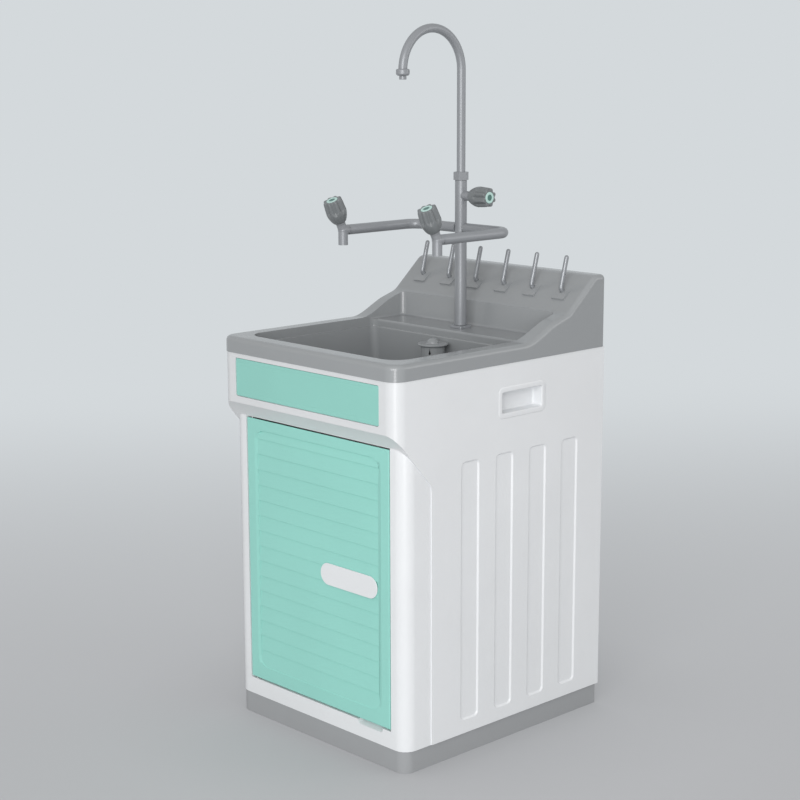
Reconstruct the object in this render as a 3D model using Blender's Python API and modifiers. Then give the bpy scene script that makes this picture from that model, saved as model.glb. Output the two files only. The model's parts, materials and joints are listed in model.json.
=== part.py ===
"""Moulded laboratory sink bench with a three-outlet tap, piece by piece.

Metres, +Z up, front towards -Y, origin on the floor under the middle of the bench.
"""

from math import atan2, cos, hypot, pi, radians, sin, tan

import bmesh
import bpy
from mathutils import Matrix, Vector

# Fits and roundness
GAP = 0.0003
OVERRUN = 0.010
FINE_SIDES = 24
ROUND_SIDES = 16
SMALL_SIDES = 12
CORNER_STEPS = 5

# Worktop: outer skin
TOP_WIDTH = 0.520
TOP_DEPTH = 0.600
RIM_HEIGHT = 0.8125
SKIRT_HEIGHT = 0.0325
TOP_WALL = 0.005
TOP_FRONT_RADIUS = 0.030
TOP_BACK_RADIUS = 0.012
TOP_EDGE_RADIUS = 0.010
RIM_WIDTH = 0.038

# Worktop: tap deck, console and the swept wings beside them
DECK_DEPTH = 0.087
DECK_DROP = 0.0045
DECK_CORNER_RADIUS = 0.012
CONSOLE_RISE = 0.1175
CONSOLE_DEPTH = 0.120
CONSOLE_LEDGE = 0.034
SLOPE_RUN = 0.079
SLOPE_FOOT_RISE = 0.0475
SHOULDER_RUN = 0.037
SHOULDER_RISE = 0.036
SWEEP_RUN = 0.095
SWEEP_STEPS = 8
SLOPE_BLEND = 0.010

# Worktop: basin
BASIN_DEPTH = 0.150
BASIN_DRAFT = 0.009
BASIN_BACK_DRAFT = 0.0005
BASIN_FALL = 0.006
BASIN_CORNER_RADIUS = 0.040
BASIN_BACK_RADIUS = 0.014
BASIN_FLOOR_RADIUS = 0.008
LIP_DROP = 0.0195
LIP_WIDTH = 0.004

# Drying pegs and their wedge pads
PEG_COUNT = 6
PEG_PITCH = 0.0814
PEG_DIAMETER = 0.0095
PEG_LENGTH = 0.076
PEG_LEAN = radians(15.0)
PEG_SETBACK = 0.0375
PEG_SOCKET = 0.024
PEG_BOSS_WALL = 0.004
PAD_WIDTH = 0.030
PAD_STEP = 0.0028
PAD_FRONT = 0.0175
PAD_LENGTH = 0.026

# Cabinet
CABINET_INSET = 0.0015
PANEL_WALL = 0.004
PANEL_FLANGE = 0.018
CABINET_RADIUS = 0.028
FRONT_SETBACK = 0.0265
SIDE_SETBACK = 0.0025
FRAME_WRAP = 0.100
FASCIA_HEIGHT = 0.102
FASCIA_SLOPE = radians(49.0)
FASCIA_FOOT_RADIUS = 0.014
DOOR_STILE = 0.040
BOTTOM_RAIL = 0.0355
HEADER_LIP = 0.0005
LINER_DEPTH = 0.034

# Fascia panel
FASCIA_SIDE_MARGIN = 0.045
FASCIA_TOP_MARGIN = 0.0098
FASCIA_LOW_MARGIN = 0.0145
FASCIA_PANEL_THICKNESS = 0.003
FASCIA_PANEL_SINK = 0.0008
FASCIA_PANEL_GAP = 0.0007
FASCIA_PANEL_RADIUS = 0.004

# Side panels: grooves and grips
GROOVE_COUNT = 4
GROOVE_WIDTH = 0.050
GROOVE_PITCH = 0.097
GROOVE_FIRST = 0.101
GROOVE_TOP_MARGIN = 0.178
GROOVE_LOW_MARGIN = 0.028
GROOVE_DEPTH = 0.003
GROOVE_DRAFT = 0.003
GROOVE_RADIUS = 0.010
GRIP_LENGTH = 0.115
GRIP_HEIGHT = 0.042
GRIP_DEPTH = 0.024
GRIP_WALL = 0.002
GRIP_BEZEL = 0.009
GRIP_BEZEL_THICKNESS = 0.0011
GRIP_RADIUS = 0.006
GRIP_CLEARANCE = 0.002
GRIP_HOLE_RADIUS = 0.004
GRIP_FROM_BACK = 0.250
GRIP_FROM_TOP = 0.0775

# Back panel and plinth
BACK_WINDOW_WIDTH = 0.200
BACK_WINDOW_HEIGHT = 0.200
BACK_WINDOW_RADIUS = 0.020
BACK_RIB_DEPTH = 0.010
BACK_RIB_WIDTH = 0.006
BACK_RIB_MARGIN = 0.090
PLINTH_HEIGHT = 0.045
PLINTH_INSET = 0.006
PLINTH_WALL = 0.005
PLINTH_RADIUS = 0.024
PLINTH_BACK_RADIUS = 0.005
PLINTH_BAYS = 3

# Door
DOOR_GAP = 0.0025
DOOR_THICKNESS = 0.018
DOOR_SKIN = 0.006
DOOR_RIM = 0.022
DOOR_RIB = 0.004
DOOR_BAYS_WIDE = 2
DOOR_BAYS_HIGH = 4
DOOR_EDGE_RADIUS = 0.002
FIELD_SIDE_MARGIN = 0.0315
FIELD_TOP_MARGIN = 0.023
FIELD_LOW_MARGIN = 0.030
FIELD_RADIUS = 0.020
FIELD_DEPTH = 0.0018
LOUVRE_PITCH = 0.0324
LOUVRE_FIRST = 0.0186
LOUVRE_LIFT = 0.0010
LABEL_LENGTH = 0.166
LABEL_HEIGHT = 0.045
LABEL_THICKNESS = 0.0022
LABEL_FROM_EDGE = 0.0335
LABEL_RISE = 0.2785
PIN_DIAMETER = 0.005
PIN_INSET = 0.012
PIN_BEHIND = 0.0055
PIN_GRIP = 0.018
PIN_STAND = 0.008
SCOOP_WIDTH = 0.072
SCOOP_DEPTH = 0.009
SCOOP_FROM_EDGE = 0.060
SCOOP_REACH = 0.024
CATCH_LENGTH = 0.046
CATCH_WIDTH = 0.013
CATCH_THICKNESS = 0.014
STRIKE_THICKNESS = 0.0015

# Drain, standpipe and trap
DRAIN_SETBACK = 0.0385
DRAIN_FLANGE_DIAMETER = 0.052
DRAIN_FLANGE_THICKNESS = 0.003
DRAIN_BODY_DIAMETER = 0.042
DRAIN_BODY_LENGTH = 0.062
DRAIN_WALL = 0.0035
DRAIN_BOSS_DIAMETER = 0.062
DRAIN_BOSS_DEPTH = 0.006
STANDPIPE_DIAMETER = 0.050
STANDPIPE_SPIGOT = 0.034
STANDPIPE_WALL = 0.0025
STANDPIPE_ENTRY = 0.024
OVERFLOW_DROP = 0.0285
SLOT_COUNT = 4
SLOT_WIDTH = 0.0025
SLOT_HEIGHT = 0.010
SLOT_DROP = 0.002
SLOT_HOLE_DIAMETER = 0.005
SLOT_TURN = radians(17.0)
CAP_DIAMETER = 0.064
CAP_THICKNESS = 0.006
CAP_PLUG_DEPTH = 0.007
CAP_KNOB_DIAMETER = 0.026
CAP_KNOB_HEIGHT = 0.0105
GASKET_THICKNESS = 0.003
LOCK_NUT_THICKNESS = 0.010
LOCK_NUT_FLATS = 0.054
TRAP_NUT_DIAMETER = 0.056
TRAP_NUT_HEIGHT = 0.026
TRAP_NECK_DIAMETER = 0.036
TRAP_NECK_LENGTH = 0.030
TRAP_BODY_DIAMETER = 0.076
TRAP_BODY_HEIGHT = 0.080
TRAP_CUP_DIAMETER = 0.084
TRAP_CUP_HEIGHT = 0.075
TRAP_OUTLET_DROP = 0.034
TRAP_OUTLET_REACH = 0.062
WASTE_DIAMETER = 0.040
WASTE_WALL = 0.003
WASTE_ENTRY = 0.016
OUTLET_NUT_DIAMETER = 0.056
OUTLET_NUT_LENGTH = 0.022

# Tap: base, column, swivel gooseneck
TAP_FLANGE_SIZE = 0.033
TAP_FLANGE_THICKNESS = 0.005
TAP_FLANGE_RADIUS = 0.003
COLUMN_DIAMETER = 0.025
COLUMN_HEIGHT = 0.3095
SHANK_DIAMETER = 0.020
SHANK_LENGTH = 0.060
SHANK_BORE = 0.012
TAP_WASHER_DIAMETER = 0.042
TAP_WASHER_THICKNESS = 0.003
TAP_NUT_FLATS = 0.032
TAP_NUT_THICKNESS = 0.012
NECK_DIAMETER = 0.021
NECK_HEIGHT = 0.010
UNION_FLATS = 0.028
UNION_HEIGHT = 0.0165
UNION_LIP = 0.004
GOOSE_DIAMETER = 0.018
GOOSE_COLLAR = 0.002
GOOSE_RISE = 0.2085
GOOSE_RADIUS = 0.083
GOOSE_LEG = 0.003
GOOSE_STEPS = 16
SPOUT_COLLAR_DIAMETER = 0.0275
SPOUT_COLLAR_HEIGHT = 0.0135
SPOUT_COLLAR_LAP = 0.006
NOZZLE_DIAMETER = 0.0145
NOZZLE_LENGTH = 0.007
NOZZLE_BORE = 0.009

# Tap: side arms and the three valves
ARM_DIAMETER = 0.021
ARM_SPREAD = 0.138
ARM_REACH = 0.206
ARM_DROP = 0.099
ARM_BEND = 0.030
ARM_BEND_STEPS = 6
OUTLET_DIAMETER = 0.020
OUTLET_DROP = 0.0306
OUTLET_BORE = 0.014
OUTLET_BORE_DEPTH = 0.016
VALVE_SOCKET = 0.0125
VALVE_NECK = 0.0145
KNOB_TILT = radians(25.0)
SIDE_KNOB_DROP = 0.032
BONNET_DIAMETER = 0.020
BONNET_LENGTH = 0.004
SPINDLE_DIAMETER = 0.008
SPINDLE_LENGTH = 0.018
KNOB_LENGTH = 0.057
KNOB_RADIUS = 0.0215
KNOB_BASE_RADIUS = 0.0125
KNOB_LOBES = 8
KNOB_POINTS_PER_LOBE = 4
FLUTE_DEPTH = 0.0034
KNOB_CAP_RADIUS = 0.0132
KNOB_CAP_DEPTH = 0.003
KNOB_CAP_PROUD = 0.0006
KNOB_EYE_RADIUS = 0.0068

# Levels and planes that the pieces share
half_width = TOP_WIDTH / 2
front_y = -TOP_DEPTH / 2
back_y = TOP_DEPTH / 2
skirt_z = RIM_HEIGHT - SKIRT_HEIGHT
deck_z = RIM_HEIGHT - DECK_DROP
console_top_z = RIM_HEIGHT + CONSOLE_RISE
slope_top_y = back_y - CONSOLE_LEDGE
slope_foot_y = slope_top_y - SLOPE_RUN
slope_foot_z = RIM_HEIGHT + SLOPE_FOOT_RISE
shoulder_y = slope_foot_y - SHOULDER_RUN
shoulder_z = RIM_HEIGHT + SHOULDER_RISE
sweep_y = shoulder_y - SWEEP_RUN
console_wall_y = back_y - CONSOLE_DEPTH
basin_back_y = console_wall_y - DECK_DEPTH
basin_front_y = front_y + RIM_WIDTH
basin_half = half_width - RIM_WIDTH
basin_floor_z = RIM_HEIGHT - BASIN_DEPTH
lip_z = RIM_HEIGHT - LIP_DROP

side_x = half_width - CABINET_INSET
fascia_y = front_y + CABINET_INSET
panel_back_y = back_y - CABINET_INSET
cabinet_top = skirt_z - GAP
cabinet_bottom = PLINTH_HEIGHT + GAP
door_y = fascia_y + FRONT_SETBACK
frame_back_y = fascia_y + FRAME_WRAP
frame_side_x = side_x - SIDE_SETBACK
fascia_low_z = cabinet_top - FASCIA_HEIGHT
slope_end_z = fascia_low_z - FRONT_SETBACK * tan(FASCIA_SLOPE)
opening_half = frame_side_x - DOOR_STILE
opening_top = slope_end_z - HEADER_LIP
opening_low = PLINTH_HEIGHT + BOTTOM_RAIL
door_half = opening_half - DOOR_GAP
door_top = opening_top - DOOR_GAP
door_low = opening_low + DOOR_GAP
door_back_y = door_y + DOOR_THICKNESS
hinge_x = -door_half + PIN_INSET
hinge_y = door_y + PIN_BEHIND

drain_y = basin_back_y - DRAIN_SETBACK
tap_y = console_wall_y - DECK_DEPTH / 2
column_top_z = deck_z + COLUMN_HEIGHT
arm_z = column_top_z - ARM_DROP
valve_y = tap_y - ARM_REACH

# Cleared scene, one collection for the pieces and one for the shapes that cut them
for item in list(bpy.data.objects):
    bpy.data.objects.remove(item, do_unlink=True)
pieces = bpy.data.collections.new("lab_sink_bench")
cutters = bpy.data.collections.new("lab_sink_bench_cutters")
bpy.context.scene.collection.children.link(pieces)
bpy.context.scene.collection.children.link(cutters)


def finish(name, colour, roughness, metallic=0.0):
    """A plain surface finish."""
    material = bpy.data.materials.new(name)
    material.use_nodes = True
    shader = material.node_tree.nodes["Principled BSDF"]
    shader.inputs["Base Color"].default_value = (*colour, 1.0)
    shader.inputs["Roughness"].default_value = roughness
    shader.inputs["Metallic"].default_value = metallic
    return material


white = finish("white_plastic", (0.68, 0.69, 0.71), 0.4)
turquoise = finish("turquoise_plastic", (0.30, 0.62, 0.54), 0.4)
grey = finish("grey_plastic", (0.30, 0.31, 0.32), 0.45)
tap_grey = finish("tap_enamel", (0.24, 0.25, 0.27), 0.35)
knob_grey = finish("knob_plastic", (0.14, 0.15, 0.155), 0.45)
cap_pale = finish("cap_pale_turquoise", (0.52, 0.68, 0.64), 0.4)
cap_dark = finish("cap_dark_green", (0.09, 0.19, 0.16), 0.4)
pipe_white = finish("pipe_plastic", (0.62, 0.62, 0.60), 0.45)
steel = finish("zinc_steel", (0.55, 0.56, 0.57), 0.35, 1.0)
black = finish("black_rubber", (0.02, 0.02, 0.02), 0.7)


def link(name, mesh, material=None, frame=None):
    """An object for a mesh: a piece where it has a finish, a cutter where it has none."""
    obj = bpy.data.objects.new(name, mesh)
    if material is None:
        cutters.objects.link(obj)
        obj.hide_render = True
        obj.display_type = "WIRE"
    else:
        pieces.objects.link(obj)
        mesh.materials.append(material)
    if frame is not None:
        obj.matrix_world = frame
    return obj


def from_bmesh(name, bm, material=None, frame=None):
    """Close a bmesh into an object, smooth where its faces meet gently."""
    mesh = bpy.data.meshes.new(name)
    bmesh.ops.recalc_face_normals(bm, faces=bm.faces)
    bm.to_mesh(mesh)
    bm.free()
    mesh.shade_smooth()
    mesh.set_sharp_from_angle(angle=radians(35))
    return link(name, mesh, material, frame)


def carve(target, other, operation="DIFFERENCE"):
    """Cut, join or keep the common part with another shape."""
    boolean = target.modifiers.new(other.name, "BOOLEAN")
    boolean.operation = operation
    boolean.object = other
    boolean.solver = "EXACT"


def settle(obj):
    """Turn an object's modifiers into its own mesh."""
    graph = bpy.context.evaluated_depsgraph_get()
    graph.update()
    mesh = bpy.data.meshes.new_from_object(obj.evaluated_get(graph))
    obj.modifiers.clear()
    obj.data = mesh


def add_box(bm, low, high):
    """A box between two corners, added to a bmesh; returns its corners."""
    size = [b - a for a, b in zip(low, high)]
    middle = [(a + b) / 2 for a, b in zip(low, high)]
    place = Matrix.Translation(middle) @ Matrix.Diagonal((*size, 1.0))
    return bmesh.ops.create_cube(bm, size=1.0, matrix=place)["verts"]


def box(name, low, high, material=None):
    """A plain box between two corners."""
    bm = bmesh.new()
    add_box(bm, low, high)
    return from_bmesh(name, bm, material)


def upright_edges(verts, keep):
    """The upright edges of a box whose place passes a test."""
    edges = {edge for vert in verts for edge in vert.link_edges}
    found = []
    for edge in edges:
        a, b = (vert.co for vert in edge.verts)
        if abs(a.z - b.z) > 1e-6 and hypot(a.x - b.x, a.y - b.y) < abs(a.z - b.z) and keep(a):
            found.append(edge)
    return found


def slab(name, low, high, front_radius=0.0, back_radius=0.0, material=None):
    """A box with rounded upright corners at its front and back."""
    bm = bmesh.new()
    verts = add_box(bm, low, high)
    middle_y = (low[1] + high[1]) / 2
    for radius, keep in ((front_radius, lambda p: p.y < middle_y), (back_radius, lambda p: p.y > middle_y)):
        if radius > 0.0:
            edges = upright_edges([v for v in bm.verts if v.is_valid], keep)
            edges = [e for e in edges if abs(e.verts[0].co.x) > 1e-9]
            bmesh.ops.bevel(bm, geom=edges, offset=radius, segments=CORNER_STEPS, profile=0.5, affect="EDGES")
    return from_bmesh(name, bm, material)


def outline(name, points, thickness, frame, material=None):
    """A flat outline in the frame's XY plane, thickened evenly both ways."""
    curve = bpy.data.curves.new(name, "CURVE")
    curve.dimensions = "2D"
    curve.fill_mode = "BOTH"
    curve.extrude = thickness / 2
    spline = curve.splines.new("POLY")
    spline.points.add(len(points) - 1)
    for point, (u, v) in zip(spline.points, points):
        point.co = (u, v, 0.0, 1.0)
    spline.use_cyclic_u = True
    return curve_to_mesh(name, curve, frame, material)


def tube(name, points, diameter, material, sides=16):
    """A round bar along a path with closed ends."""
    curve = bpy.data.curves.new(name, "CURVE")
    curve.dimensions = "3D"
    curve.bevel_depth = diameter / 2
    curve.bevel_resolution = sides // 2 - 2
    curve.use_fill_caps = True
    spline = curve.splines.new("POLY")
    spline.points.add(len(points) - 1)
    for point, place in zip(spline.points, points):
        point.co = (*place, 1.0)
    return curve_to_mesh(name, curve, Matrix(), material)


def curve_to_mesh(name, curve, frame, material):
    """The closed mesh of a curve, its caps welded."""
    source = bpy.data.objects.new(name + "_curve", curve)
    bpy.context.scene.collection.objects.link(source)
    graph = bpy.context.evaluated_depsgraph_get()
    graph.update()
    mesh = bpy.data.meshes.new_from_object(source.evaluated_get(graph))
    bpy.data.objects.remove(source, do_unlink=True)
    bm = bmesh.new()
    bm.from_mesh(mesh)
    bmesh.ops.remove_doubles(bm, verts=bm.verts, dist=1e-6)
    return from_bmesh(name, bm, material, frame)


def turned(name, profile, material=None, frame=None, sides=ROUND_SIDES, ring=False):
    """A turned shape: radius and height pairs down its outer side, closed on the axis or as a ring."""
    mesh = bpy.data.meshes.new(name)
    verts = [(radius, 0.0, height) for radius, height in profile]
    edges = [(i, i + 1) for i in range(len(verts) - 1)]
    if ring:
        edges.append((len(verts) - 1, 0))
    mesh.from_pydata(verts, edges, [])
    obj = link(name, mesh, material, frame)
    screw = obj.modifiers.new("turn", "SCREW")
    screw.axis = "Z"
    screw.angle = 2 * pi
    screw.steps = sides
    screw.render_steps = sides
    screw.use_merge_vertices = True
    screw.merge_threshold = 1e-5
    screw.use_smooth_shade = False
    return obj


def rod(name, radius, low, high, material=None, frame=None, sides=ROUND_SIDES):
    """A plain round bar between two heights."""
    profile = [(0.0, high), (radius, high), (radius, low), (0.0, low)]
    return turned(name, profile, material, frame, sides)


def at(x, y, z):
    """A frame moved to a point."""
    return Matrix.Translation((x, y, z))


def facing(origin, axis):
    """A frame at a point whose Z runs along an axis."""
    turn = Vector((0, 0, 1)).rotation_difference(Vector(axis).normalized())
    return Matrix.Translation(origin) @ turn.to_matrix().to_4x4()


def side_frame():
    """A frame whose XY plane is the bench's YZ plane."""
    return Matrix(((0, 0, 1, 0), (1, 0, 0, 0), (0, 1, 0, 0), (0, 0, 0, 1)))


def front_frame_at(y):
    """A frame whose XY plane is the bench's XZ plane, at a depth."""
    return Matrix(((1, 0, 0, 0), (0, 0, -1, y), (0, 1, 0, 0), (0, 0, 0, 1)))


def rounded_rectangle(low, high, radius, steps=CORNER_STEPS):
    """Corner points of a rectangle with round corners."""
    centres = [(high[0] - radius, high[1] - radius, 0.0), (low[0] + radius, high[1] - radius, 0.5 * pi),
               (low[0] + radius, low[1] + radius, pi), (high[0] - radius, low[1] + radius, 1.5 * pi)]
    points = []
    for u, v, start in centres:
        for step in range(steps + 1):
            angle = start + 0.5 * pi * step / steps
            points.append((u + radius * cos(angle), v + radius * sin(angle)))
    return points


def bend(start, corner, end, reach, steps=4):
    """A soft corner between two straight lines."""
    a, c, b = Vector(start), Vector(corner), Vector(end)
    first = c + (a - c).normalized() * reach
    last = c + (b - c).normalized() * reach
    points = []
    for step in range(steps + 1):
        t = step / steps
        points.append(tuple(first * (1 - t) ** 2 + c * 2 * t * (1 - t) + last * t ** 2))
    return points


def parallel(points, distance):
    """A line drawn beside another, on its right."""
    moved = []
    for i, point in enumerate(points):
        before = Vector(points[max(i - 1, 0)])
        after = Vector(points[min(i + 1, len(points) - 1)])
        along = (after - before).normalized()
        moved.append((point[0] + along.y * distance, point[1] - along.x * distance))
    return moved


def hexagon(flats):
    """The corners of a hexagon of a given width across its flats."""
    radius = flats / 2 / cos(pi / 6)
    return [(radius * cos(k * pi / 3), radius * sin(k * pi / 3)) for k in range(6)]


def on_axis(names, place):
    """Hang pieces on an empty at the axis they move on."""
    empty = bpy.data.objects.new(names[0] + "_axis", None)
    pieces.objects.link(empty)
    empty.matrix_world = place
    bpy.context.view_layer.update()
    for name in names:
        obj = bpy.data.objects[name]
        obj.parent = empty
        obj.matrix_parent_inverse = place.inverted()


def wing_top():
    """The worktop's side view from the front rim, up the swept wing and slope, to the back."""
    end_slope = (slope_foot_z - shoulder_z) / SHOULDER_RUN
    points = [(front_y, RIM_HEIGHT)]
    for step in range(SWEEP_STEPS + 1):
        t = step / SWEEP_STEPS
        rise = SHOULDER_RISE * (3 * t ** 2 - 2 * t ** 3) + SWEEP_RUN * end_slope * (t ** 3 - t ** 2)
        points.append((sweep_y + SWEEP_RUN * t, RIM_HEIGHT + rise))
    shoulder = (shoulder_y, shoulder_z)
    foot = (slope_foot_y, slope_foot_z)
    crest = (slope_top_y, console_top_z)
    points += bend(shoulder, foot, crest, SLOPE_BLEND)
    points += bend(foot, crest, (back_y, console_top_z), SLOPE_BLEND)
    points.append((back_y, console_top_z))
    return points


def slope_point(y):
    """A point of the console's slope at a depth."""
    share = (y - slope_foot_y) / SLOPE_RUN
    return Vector((0.0, y, slope_foot_z + share * (console_top_z - slope_foot_z)))


def peg_frames():
    """Where each drying peg leaves the slope, Z along the peg."""
    foot = slope_point(slope_foot_y + PEG_SETBACK)
    axis = (0.0, sin(PEG_LEAN), cos(PEG_LEAN))
    first = -(PEG_COUNT - 1) / 2 * PEG_PITCH
    return [facing((first + i * PEG_PITCH, foot.y, foot.z), axis) for i in range(PEG_COUNT)]


def joined(name, objects):
    """Several cutters as one, their places kept."""
    bm = bmesh.new()
    graph = bpy.context.evaluated_depsgraph_get()
    graph.update()
    for obj in objects:
        mesh = bpy.data.meshes.new_from_object(obj.evaluated_get(graph))
        mesh.transform(obj.matrix_world)
        bm.from_mesh(mesh)
        bpy.data.objects.remove(obj, do_unlink=True)
    return from_bmesh(name, bm)


def basin_form(name, grow, top_z):
    """The basin's drafted hollow, or with a wall's growth the bowl round it."""
    bm = bmesh.new()
    inset = LIP_WIDTH - grow
    low = (-basin_half + inset, basin_front_y + inset, basin_floor_z - grow)
    high = (basin_half - inset, basin_back_y - inset, top_z)
    verts = add_box(bm, low, high)
    middle_y = (low[1] + high[1]) / 2
    for vert in verts:
        if vert.co.z < (low[2] + high[2]) / 2:
            vert.co.x -= BASIN_DRAFT if vert.co.x > 0 else -BASIN_DRAFT
            vert.co.y -= BASIN_BACK_DRAFT if vert.co.y > middle_y else -BASIN_DRAFT
            vert.co.z += BASIN_FALL if vert.co.y < middle_y else 0.0
    for radius, keep in ((BASIN_CORNER_RADIUS, lambda p: p.y < middle_y),
                         (BASIN_BACK_RADIUS, lambda p: p.y > middle_y)):
        edges = upright_edges(bm.verts, keep)
        edges = [e for e in edges if len(e.link_faces) == 2 and e.calc_face_angle() > 1.0]
        bmesh.ops.bevel(bm, geom=edges, offset=radius, segments=CORNER_STEPS, profile=0.5, affect="EDGES")
    bm.normal_update()
    floor = min(bm.faces, key=lambda face: face.calc_center_median().z)
    bmesh.ops.bevel(bm, geom=list(floor.edges), offset=BASIN_FLOOR_RADIUS, segments=3, profile=0.5,
                    affect="EDGES")
    return from_bmesh(name, bm)


def round_top_edges(obj):
    """Round the long edge where the worktop's top turns down into its sides."""
    bm = bmesh.new()
    bm.from_mesh(obj.data)
    bmesh.ops.remove_doubles(bm, verts=bm.verts, dist=1e-5)
    bmesh.ops.dissolve_limit(bm, angle_limit=radians(0.5), verts=bm.verts, edges=bm.edges)
    edges = []
    for edge in bm.edges:
        if len(edge.link_faces) != 2 or min(v.co.z for v in edge.verts) < skirt_z + TOP_WALL:
            continue
        tilts = sorted(abs(face.normal.z) for face in edge.link_faces)
        if tilts[0] < 0.05 and tilts[1] > 0.3:
            edges.append(edge)
    bmesh.ops.bevel(bm, geom=edges, offset=TOP_EDGE_RADIUS, segments=4, profile=0.5, affect="EDGES")
    mesh = bpy.data.meshes.new(obj.name)
    bm.to_mesh(mesh)
    bm.free()
    mesh.materials.append(grey)
    mesh.shade_smooth()
    mesh.set_sharp_from_angle(angle=radians(35))
    obj.data = mesh


def build_worktop():
    """The grey moulding: skirt, rim, basin, tap deck, console and swept wings in one thin-walled piece."""
    top = wing_top()
    body = outline("worktop_sink", top + [(back_y, skirt_z), (front_y, skirt_z)], TOP_WIDTH + 2 * OVERRUN,
                   side_frame(), grey)
    carve(body, slab("worktop_plan", (-half_width, front_y, skirt_z - OVERRUN),
                     (half_width, back_y, console_top_z + OVERRUN), TOP_FRONT_RADIUS, TOP_BACK_RADIUS),
          "INTERSECT")
    settle(body)
    body.matrix_world = Matrix()
    body.data.transform(side_frame())
    round_top_edges(body)

    pads = []
    for i, frame in enumerate(peg_frames()):
        peg = frame.translation
        low = slope_point(peg.y - PAD_FRONT)
        high = slope_point(low.y + PAD_LENGTH)
        along = (high - low).normalized()
        out = Vector((0.0, -along.z, along.y))
        sunk = -out * TOP_WALL / 2
        corners = [low + sunk, low + out * PAD_STEP, high, high + sunk]
        pads.append(outline("pad_%d" % i, [(p.y, p.z) for p in corners], PAD_WIDTH,
                            at(peg.x, 0, 0) @ side_frame()))
    carve(body, joined("peg_pads", pads), "UNION")

    under = parallel(top, TOP_WALL)
    hollow = outline("worktop_hollow", [(front_y - OVERRUN, skirt_z - OVERRUN),
                                        (front_y - OVERRUN, under[0][1])]
                     + under[1:-1] + [(back_y + OVERRUN, under[-1][1]),
                                      (back_y + OVERRUN, skirt_z - OVERRUN)],
                     TOP_WIDTH + OVERRUN, side_frame())
    carve(hollow, slab("worktop_hollow_plan",
                       (-half_width + TOP_WALL, front_y + TOP_WALL, skirt_z - 2 * OVERRUN),
                       (half_width - TOP_WALL, back_y - TOP_WALL, console_top_z + OVERRUN),
                       TOP_FRONT_RADIUS - TOP_WALL, TOP_BACK_RADIUS - TOP_WALL), "INTERSECT")
    carve(hollow, box("deck_solid", (-basin_half - TOP_WALL, basin_front_y - TOP_WALL, deck_z - TOP_WALL),
                      (basin_half + TOP_WALL, console_wall_y + TOP_WALL, console_top_z + 2 * OVERRUN)))
    boss_radius = PEG_DIAMETER / 2 + GAP + PEG_BOSS_WALL
    bosses = [rod("boss_%d" % i, boss_radius, -PEG_SOCKET - PEG_BOSS_WALL, PEG_SOCKET, None, frame,
                  SMALL_SIDES)
              for i, frame in enumerate(peg_frames())]
    carve(hollow, joined("peg_bosses", bosses))
    carve(body, hollow)

    drain = at(0, drain_y, basin_floor_z)
    boss_low = -TOP_WALL - DRAIN_BOSS_DEPTH
    bowl = basin_form("bowl_outside", TOP_WALL, deck_z - TOP_WALL / 2)
    carve(bowl, rod("drain_boss", DRAIN_BOSS_DIAMETER / 2, boss_low, -TOP_WALL / 2, None, drain,
                    FINE_SIDES), "UNION")
    carve(body, bowl, "UNION")

    well = slab("deck_well", (-basin_half, basin_front_y, deck_z),
                (basin_half, console_wall_y, console_top_z + OVERRUN),
                BASIN_CORNER_RADIUS, DECK_CORNER_RADIUS)
    carve(well, slab("lip_well", (-basin_half, basin_front_y, lip_z),
                     (basin_half, basin_back_y, RIM_HEIGHT + OVERRUN),
                     BASIN_CORNER_RADIUS, BASIN_BACK_RADIUS), "UNION")
    carve(well, basin_form("basin_hollow", 0.0, lip_z + LIP_WIDTH), "UNION")
    carve(body, well)

    seat = DRAIN_FLANGE_DIAMETER / 2 + 2 * GAP
    hole = DRAIN_BODY_DIAMETER / 2 + GAP
    holes = [turned("drain_hole", [(0.0, OVERRUN), (seat, OVERRUN), (seat, -DRAIN_FLANGE_THICKNESS),
                                   (hole, -DRAIN_FLANGE_THICKNESS), (hole, boss_low - OVERRUN),
                                   (0.0, boss_low - OVERRUN)],
                    None, drain, ROUND_SIDES),
             rod("tap_hole", SHANK_DIAMETER / 2 + GAP, deck_z - TOP_WALL - OVERRUN, deck_z + OVERRUN, None,
                 at(0, tap_y, 0))]
    for i, frame in enumerate(peg_frames()):
        holes.append(rod("socket_%d" % i, PEG_DIAMETER / 2 + GAP, -PEG_SOCKET, PEG_LENGTH, None, frame,
                         SMALL_SIDES))
    carve(body, joined("worktop_holes", holes))


def build_pegs():
    """Round-tipped drying pegs standing in the slope's sockets."""
    radius = PEG_DIAMETER / 2
    dome = [(radius * cos(a), PEG_LENGTH - radius + radius * sin(a)) for a in (radians(55), radians(28), 0.0)]
    profile = [(0.0, PEG_LENGTH)] + dome + [(radius, -PEG_SOCKET + GAP), (0.0, -PEG_SOCKET + GAP)]
    for i, frame in enumerate(peg_frames()):
        turned("drying_peg_%d" % (i + 1), profile, grey, frame, SMALL_SIDES)


def fascia_outline(inset):
    """Side view of the proud upper front, cut under a slope that runs down and back into the side step."""
    shift = inset / cos(FASCIA_SLOPE)
    front = fascia_y + inset
    low = fascia_low_z + shift - inset * tan(FASCIA_SLOPE)
    back = frame_back_y + OVERRUN
    foot = (frame_back_y - PANEL_WALL, low - (frame_back_y - PANEL_WALL - front) * tan(FASCIA_SLOPE))
    below = (foot[0], foot[1] - FASCIA_FOOT_RADIUS)
    points = [(front, low)] + bend((front, low), foot, below, FASCIA_FOOT_RADIUS * 0.8)
    return points + [(foot[0], cabinet_bottom - OVERRUN), (back, cabinet_bottom - OVERRUN),
                     (back, cabinet_top + OVERRUN), (front, cabinet_top + OVERRUN)]


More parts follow.
